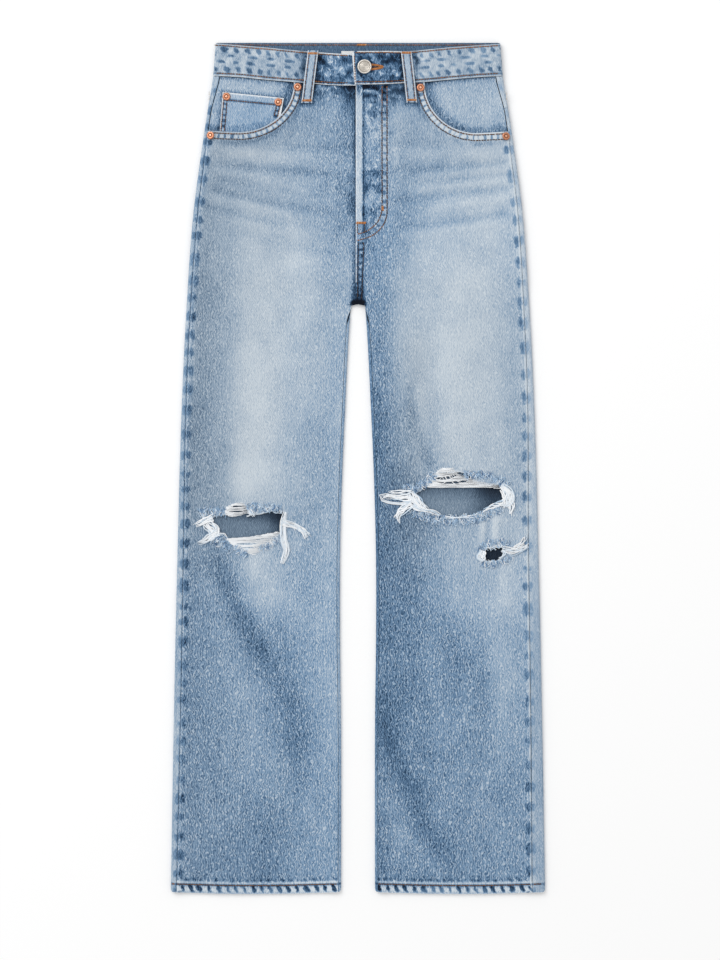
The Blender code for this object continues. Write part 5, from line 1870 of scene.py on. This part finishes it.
# For each rip its ruffles (points, width, shade), its strands (outline, pitch, gaps), its hanks
# (points, widths, ropes, shade) and its tufts (points, yarns, spread).
RIGHT_KNEE = (
    (
        (((-132, -47), (-112, -47), (-91, -48)), 8.5),
        (((-190, -54), (-176, -52), (-160, -53)), 9.0),
        (((-174, -84), (-160, -92), (-146, -98), (-132, -103)), 8.0),
        (((-117, -98), (-105, -91), (-96, -83)), 5.0, 0.45),
    ),
    (
        (
            ((-162, -55), (-155, -46), (-148, -42), (-138, -41), (-131, -47), (-128, -53),
             (-138, -55), (-148, -57)),
            0.55, ((-155, -45, -135, -45, 1.4, 0.5), (-158, -50.5, -131, -50, 1.4, 1)),
        ),
        (
            ((-157, -84), (-130, -82), (-95, -76), (-98, -88), (-110, -92), (-116, -98),
             (-124, -103), (-134, -101), (-147, -94)),
            0.55,
            ((-149, -90, -116, -88.5, 1.7, 1), (-142, -94.5, -116, -94, 1.2, 0.5),
             (-134, -86, -104, -83, 1.2, 0.5)),
        ),
    ),
    (
        (((-132, -52), (-126, -54), (-125, -58)), (9, 6, 2), 5),
        (((-168, -78), (-161, -80), (-155, -84)), (4, 4, 2), 4, 0.6),
        (((-87, -52), (-90, -66), (-89, -84), (-86, -98), (-91, -114)), (4, 7, 10, 8, 4), 9),
        (((-89, -64), (-76, -69), (-66, -75), (-61, -86)), (8, 6, 7, 3), 6),
        (((-74, -69), (-64, -75), (-55, -80)), (5, 5, 2), 4),
        (((-184, -60), (-177, -66), (-171, -73), (-172, -80)), (5, 9, 10, 7), 8),
        (((-168, -76), (-174, -81), (-180, -86)), (9, 8, 4), 6),
        (((-170, -77), (-179, -84), (-192, -90)), (10, 8, 3), 7),
        (((-174, -59), (-185, -63), (-197, -69)), (8, 9, 2), 7),
        (((-187, -62), (-181, -70), (-174, -79)), (4, 6, 6), 5),
    ),
    (
        (((-90, -60), (-88, -84), (-90, -112)), 4, 2.0),
        (((-88, -66), (-72, -71), (-58, -82)), 4, 2.0),
        (((-168, -74), (-178, -82), (-192, -90)), 4, 1.8),
    ),
)
LEFT_KNEE = (
    (
        (((127, -8), (150, -8), (168, -14), (180, -21)), 8.0),
        (((54, -25), (68, -23), (82, -17), (92, -6)), 8.0),
        (((62, -51), (84, -59), (110, -62), (140, -60), (158, -53), (172, -47)), 9.0),
    ),
    (
        (
            ((82, -22), (85, -13), (93, -5), (103, 1), (113, 1), (121, -5), (128, -10), (142, -13),
             (155, -17), (170, -19), (174, -24), (150, -22), (136, -20), (120, -21), (100, -23)),
            0.5,
            ((88, -10.5, 124, -5, 2.3, 3.5), (92, -16, 140, -11.5, 2.0, 3),
             (94, -4, 118, -3.5, 1.2, 1)),
        ),
    ),
    (
        (((172, -20), (180, -27), (180, -37), (172, -43)), (8, 13, 14, 8), 9),
        (((172, -24), (179, -31), (180, -41), (176, -50)), (7, 12, 12, 5), 9),
        (((181, -36), (184, -46), (183, -57)), (8, 6, 2), 4),
        (((174, -42), (161, -45), (149, -52)), (7, 5, 3), 5),
        (((98, -56), (90, -52), (79, -50), (66, -44)), (3, 4, 5, 10), 5),
        (((142, -57), (122, -59), (104, -58)), (2, 2.5, 2), 2, 0.8),
        (((62, -28), (67, -36), (73, -44), (80, -51)), (6, 16, 13, 4), 10),
        (((62, -32), (69, -39), (76, -45), (84, -50)), (10, 14, 11, 4), 8),
        (((64, -28), (48, -29), (36, -27)), (5, 4, 2), 3),
        (
            ((62, -36), (44, -34), (29, -31), (26, -36), (36, -41), (52, -42), (64, -40)),
            (3, 3, 2, 2, 3, 3, 5), 3,
        ),
        (((60, -33), (46, -34), (36, -32), (28, -36)), (4, 3, 3, 2), 3),
        (((64, -38), (50, -37), (40, -35)), (5, 4, 2), 3),
        (((64, -42), (54, -50), (48, -57), (50, -68)), (12, 9, 5, 2), 7),
        (((56, -48), (50, -52), (44, -60)), (6, 4, 2), 3),
    ),
    ((((64, -34), (50, -34), (28, -34)), 4, 2.0),),
)
LEFT_SHIN = (
    (
        (((145, -97), (153, -91), (168, -87), (181, -91)), 5.0),
        (((147, -113), (158, -115), (170, -113), (184, -106)), 6.0),
        (((150, -99), (160, -95), (174, -93)), 2.0, 0.7),
    ),
    (),
    (
        (((149, -98), (147, -104), (150, -111)), (6, 10, 6), 6),
        (((148, -99), (150, -104), (149, -109)), (6, 8, 5), 5),
        (((173, -96), (185, -99), (196, -96), (206, -89)), (5, 9, 8, 4), 7),
        (((188, -96), (196, -88), (201, -81)), (5, 5, 4), 4),
        (((172, -98), (176, -103), (169, -108)), (3, 4, 2), 3, 0.7),
    ),
    ((((172, -99), (188, -98), (205, -88)), 3, 1.6),),
)


def tear(rip):
    for make, rows in zip((ruffle, strands, hank, tuft), rip):
        for row in rows:
            make(*row)


def torn():
    """The loose threads of each leg, as one piece for each count of rings."""
    pieces = {"torn_right": [], "torn_left": []}
    for rings, found in FIBRES.items():
        centres, radii, shade = (np.array(part) for part in zip(*found))
        for word, on in (("right", centres[:, 0, 0] < 0), ("left", centres[:, 0, 0] > 0)):
            if on.any():
                name = f"torn_threads_{word}_{rings}"
                made = tubes(name, centres[on], radii[on], 3, shade[on], YARN)
                pieces[f"torn_{word}"].append(made)
    return pieces


# ---- The whole ----

LEGS = ((-1, "right"), (1, "left"))
for leg in LEGS:
    front_panel(*leg)
for leg in LEGS:
    back(*leg)
for leg in LEGS:
    facing(*leg)
coin_pocket()
waistband()
for side, word in LEGS:
    belt_loop(f"front_{word}", FRONT_LOOPS[side], lambda x, y: loop_z(side, x, y), 0.71)
for word, *ends in BACK_LOOPS:
    belt_loop(f"back_{word}", ends, flat(0), 0.62, -1)
for leg in LEGS:
    back_pocket(*leg)
label_piece()
metals()
for leg in LEGS:
    sew_front(*leg)
sew_coin()
sew_band()
sew_loops()
for leg in LEGS:
    sew_back(*leg)
for rip in (RIGHT_KNEE, LEFT_KNEE, LEFT_SHIN):
    tear(rip)
THREADS = {**sewn(), **torn()}

# Each sheet: its flat width and length and the flat area of what shows of its cut, in metres, what
# it lies on and the threads on it.
FLATS = (
    ("front_panel_right", 0.219, 0.967, 0.185, "back_panel_right", "front_right torn_right"),
    ("front_panel_left", 0.219, 0.967, 0.180, "back_panel_left", "front_left torn_left"),
    ("back_panel_right", 0.235, 0.935, 0.197, "", "back_right"),
    ("back_panel_left", 0.245, 0.935, 0.203, "", "back_left"),
    ("back_yoke_right", 0.185, 0.075, 0.0100, "", ""),
    ("back_yoke_left", 0.185, 0.075, 0.0100, "", ""),
    ("pocket_facing_right", 0.105, 0.085, 0.0065, "back_panel_right back_yoke_right", ""),
    ("pocket_facing_left", 0.105, 0.085, 0.0065, "back_panel_left back_yoke_left", ""),
    ("coin_pocket_sheet", 0.080, 0.050, 0.0036, "pocket_facing_right", "coin_pocket"),
    (BAND, 0.720, 0.040, 0.0275, "front_panel_right front_panel_left", "waistband loops"),
    ("belt_loop_front_right", 0.0126, 0.064, None, BAND + " front_panel_right", ""),
    ("belt_loop_front_left", 0.0126, 0.064, None, BAND + " front_panel_left", ""),
    ("belt_loop_back_right", 0.0126, 0.065, None, BAND + " back_yoke_right", ""),
    ("belt_loop_back_centre", 0.0126, 0.065, None, BAND, ""),
    ("belt_loop_back_left", 0.0126, 0.065, None, BAND + " back_yoke_left", ""),
    ("back_pocket_sheet_right", 0.126, 0.156, 0.0165, "back_panel_right", ""),
    ("back_pocket_sheet_left", 0.126, 0.156, 0.0165, "back_panel_left", ""),
    ("care_label", 0.019, 0.024, None, BAND, ""),
)
for name, width, length, area, below, threads in FLATS:
    below = below.split()

# ---- Stage, light and camera ----

FLOOR_SIZE = 6.0
FLOOR_DROP = 0.0003
FLOOR_GREY = (0.80, 0.80, 0.80, 1)
WHITE_LIGHT = (1, 1, 1, 1)
WORLD_LIGHT = 0.70
FLOOR_LIFT = 0.06  # light that the camera sees on the floor besides what falls on it
LAMP_AT, LAMP_SIZE, LAMP_POWER = (-2.4, 2.6, 3.6), 3.4, 100.0
CAMERA_AT = (0.0024, -0.0138)
PICTURE_HEIGHT = 1.152
LENS, SENSOR = 85.0, 36.0


def make_floor():
    half = FLOOR_SIZE / 2
    mesh = bpy.data.meshes.new("floor")
    corners = [(-half, -half, 0), (half, -half, 0), (half, half, 0), (-half, half, 0)]
    mesh.from_pydata(corners, [], [(0, 1, 2, 3)])
    floor = linked("floor", mesh)
    floor.location.z = -FLOOR_DROP
    n = Nodes(bpy.data.materials.new("floor"))
    seen = n.add("LightPath")
    n.set(
        "Principled BSDF",
        Base_Color=n.blend(seen, FLOOR_GREY, WHITE_LIGHT),
        Roughness=1.0,
        Specular_IOR_Level=0.0,
        Emission_Color=WHITE_LIGHT,
        Emission_Strength=seen * FLOOR_LIFT,
    )
    mesh.materials.append(n.owner)


def make_light():
    world = bpy.data.worlds.new("studio")
    bpy.context.scene.world = world
    n = Nodes(world)
    # The light that falls on things is softer than the white that the camera sees.
    strength = n.add("MapRange", {"Value": n.add("LightPath"), "To Min": WORLD_LIGHT})
    n.set("Background", Color=WHITE_LIGHT, Strength=strength)
    key = bpy.data.lights.new("key", "AREA")
    key.shape, key.size, key.energy = "DISK", LAMP_SIZE, LAMP_POWER
    lamp = linked("key", key)
    lamp.location = LAMP_AT
    way = -lamp.location.normalized()
    lamp.rotation_euler = way.to_track_quat("-Z", "Y").to_euler()


def make_camera():
    camera = bpy.data.cameras.new("camera")
    camera.lens, camera.sensor_width, camera.clip_end = LENS, SENSOR, 20.0
    eye = linked("camera", camera)
    eye.location = (*CAMERA_AT, PICTURE_HEIGHT * LENS / SENSOR)
    bpy.context.scene.camera = eye
    bpy.context.scene.view_settings.view_transform = "Standard"


make_floor()
make_light()
make_camera()
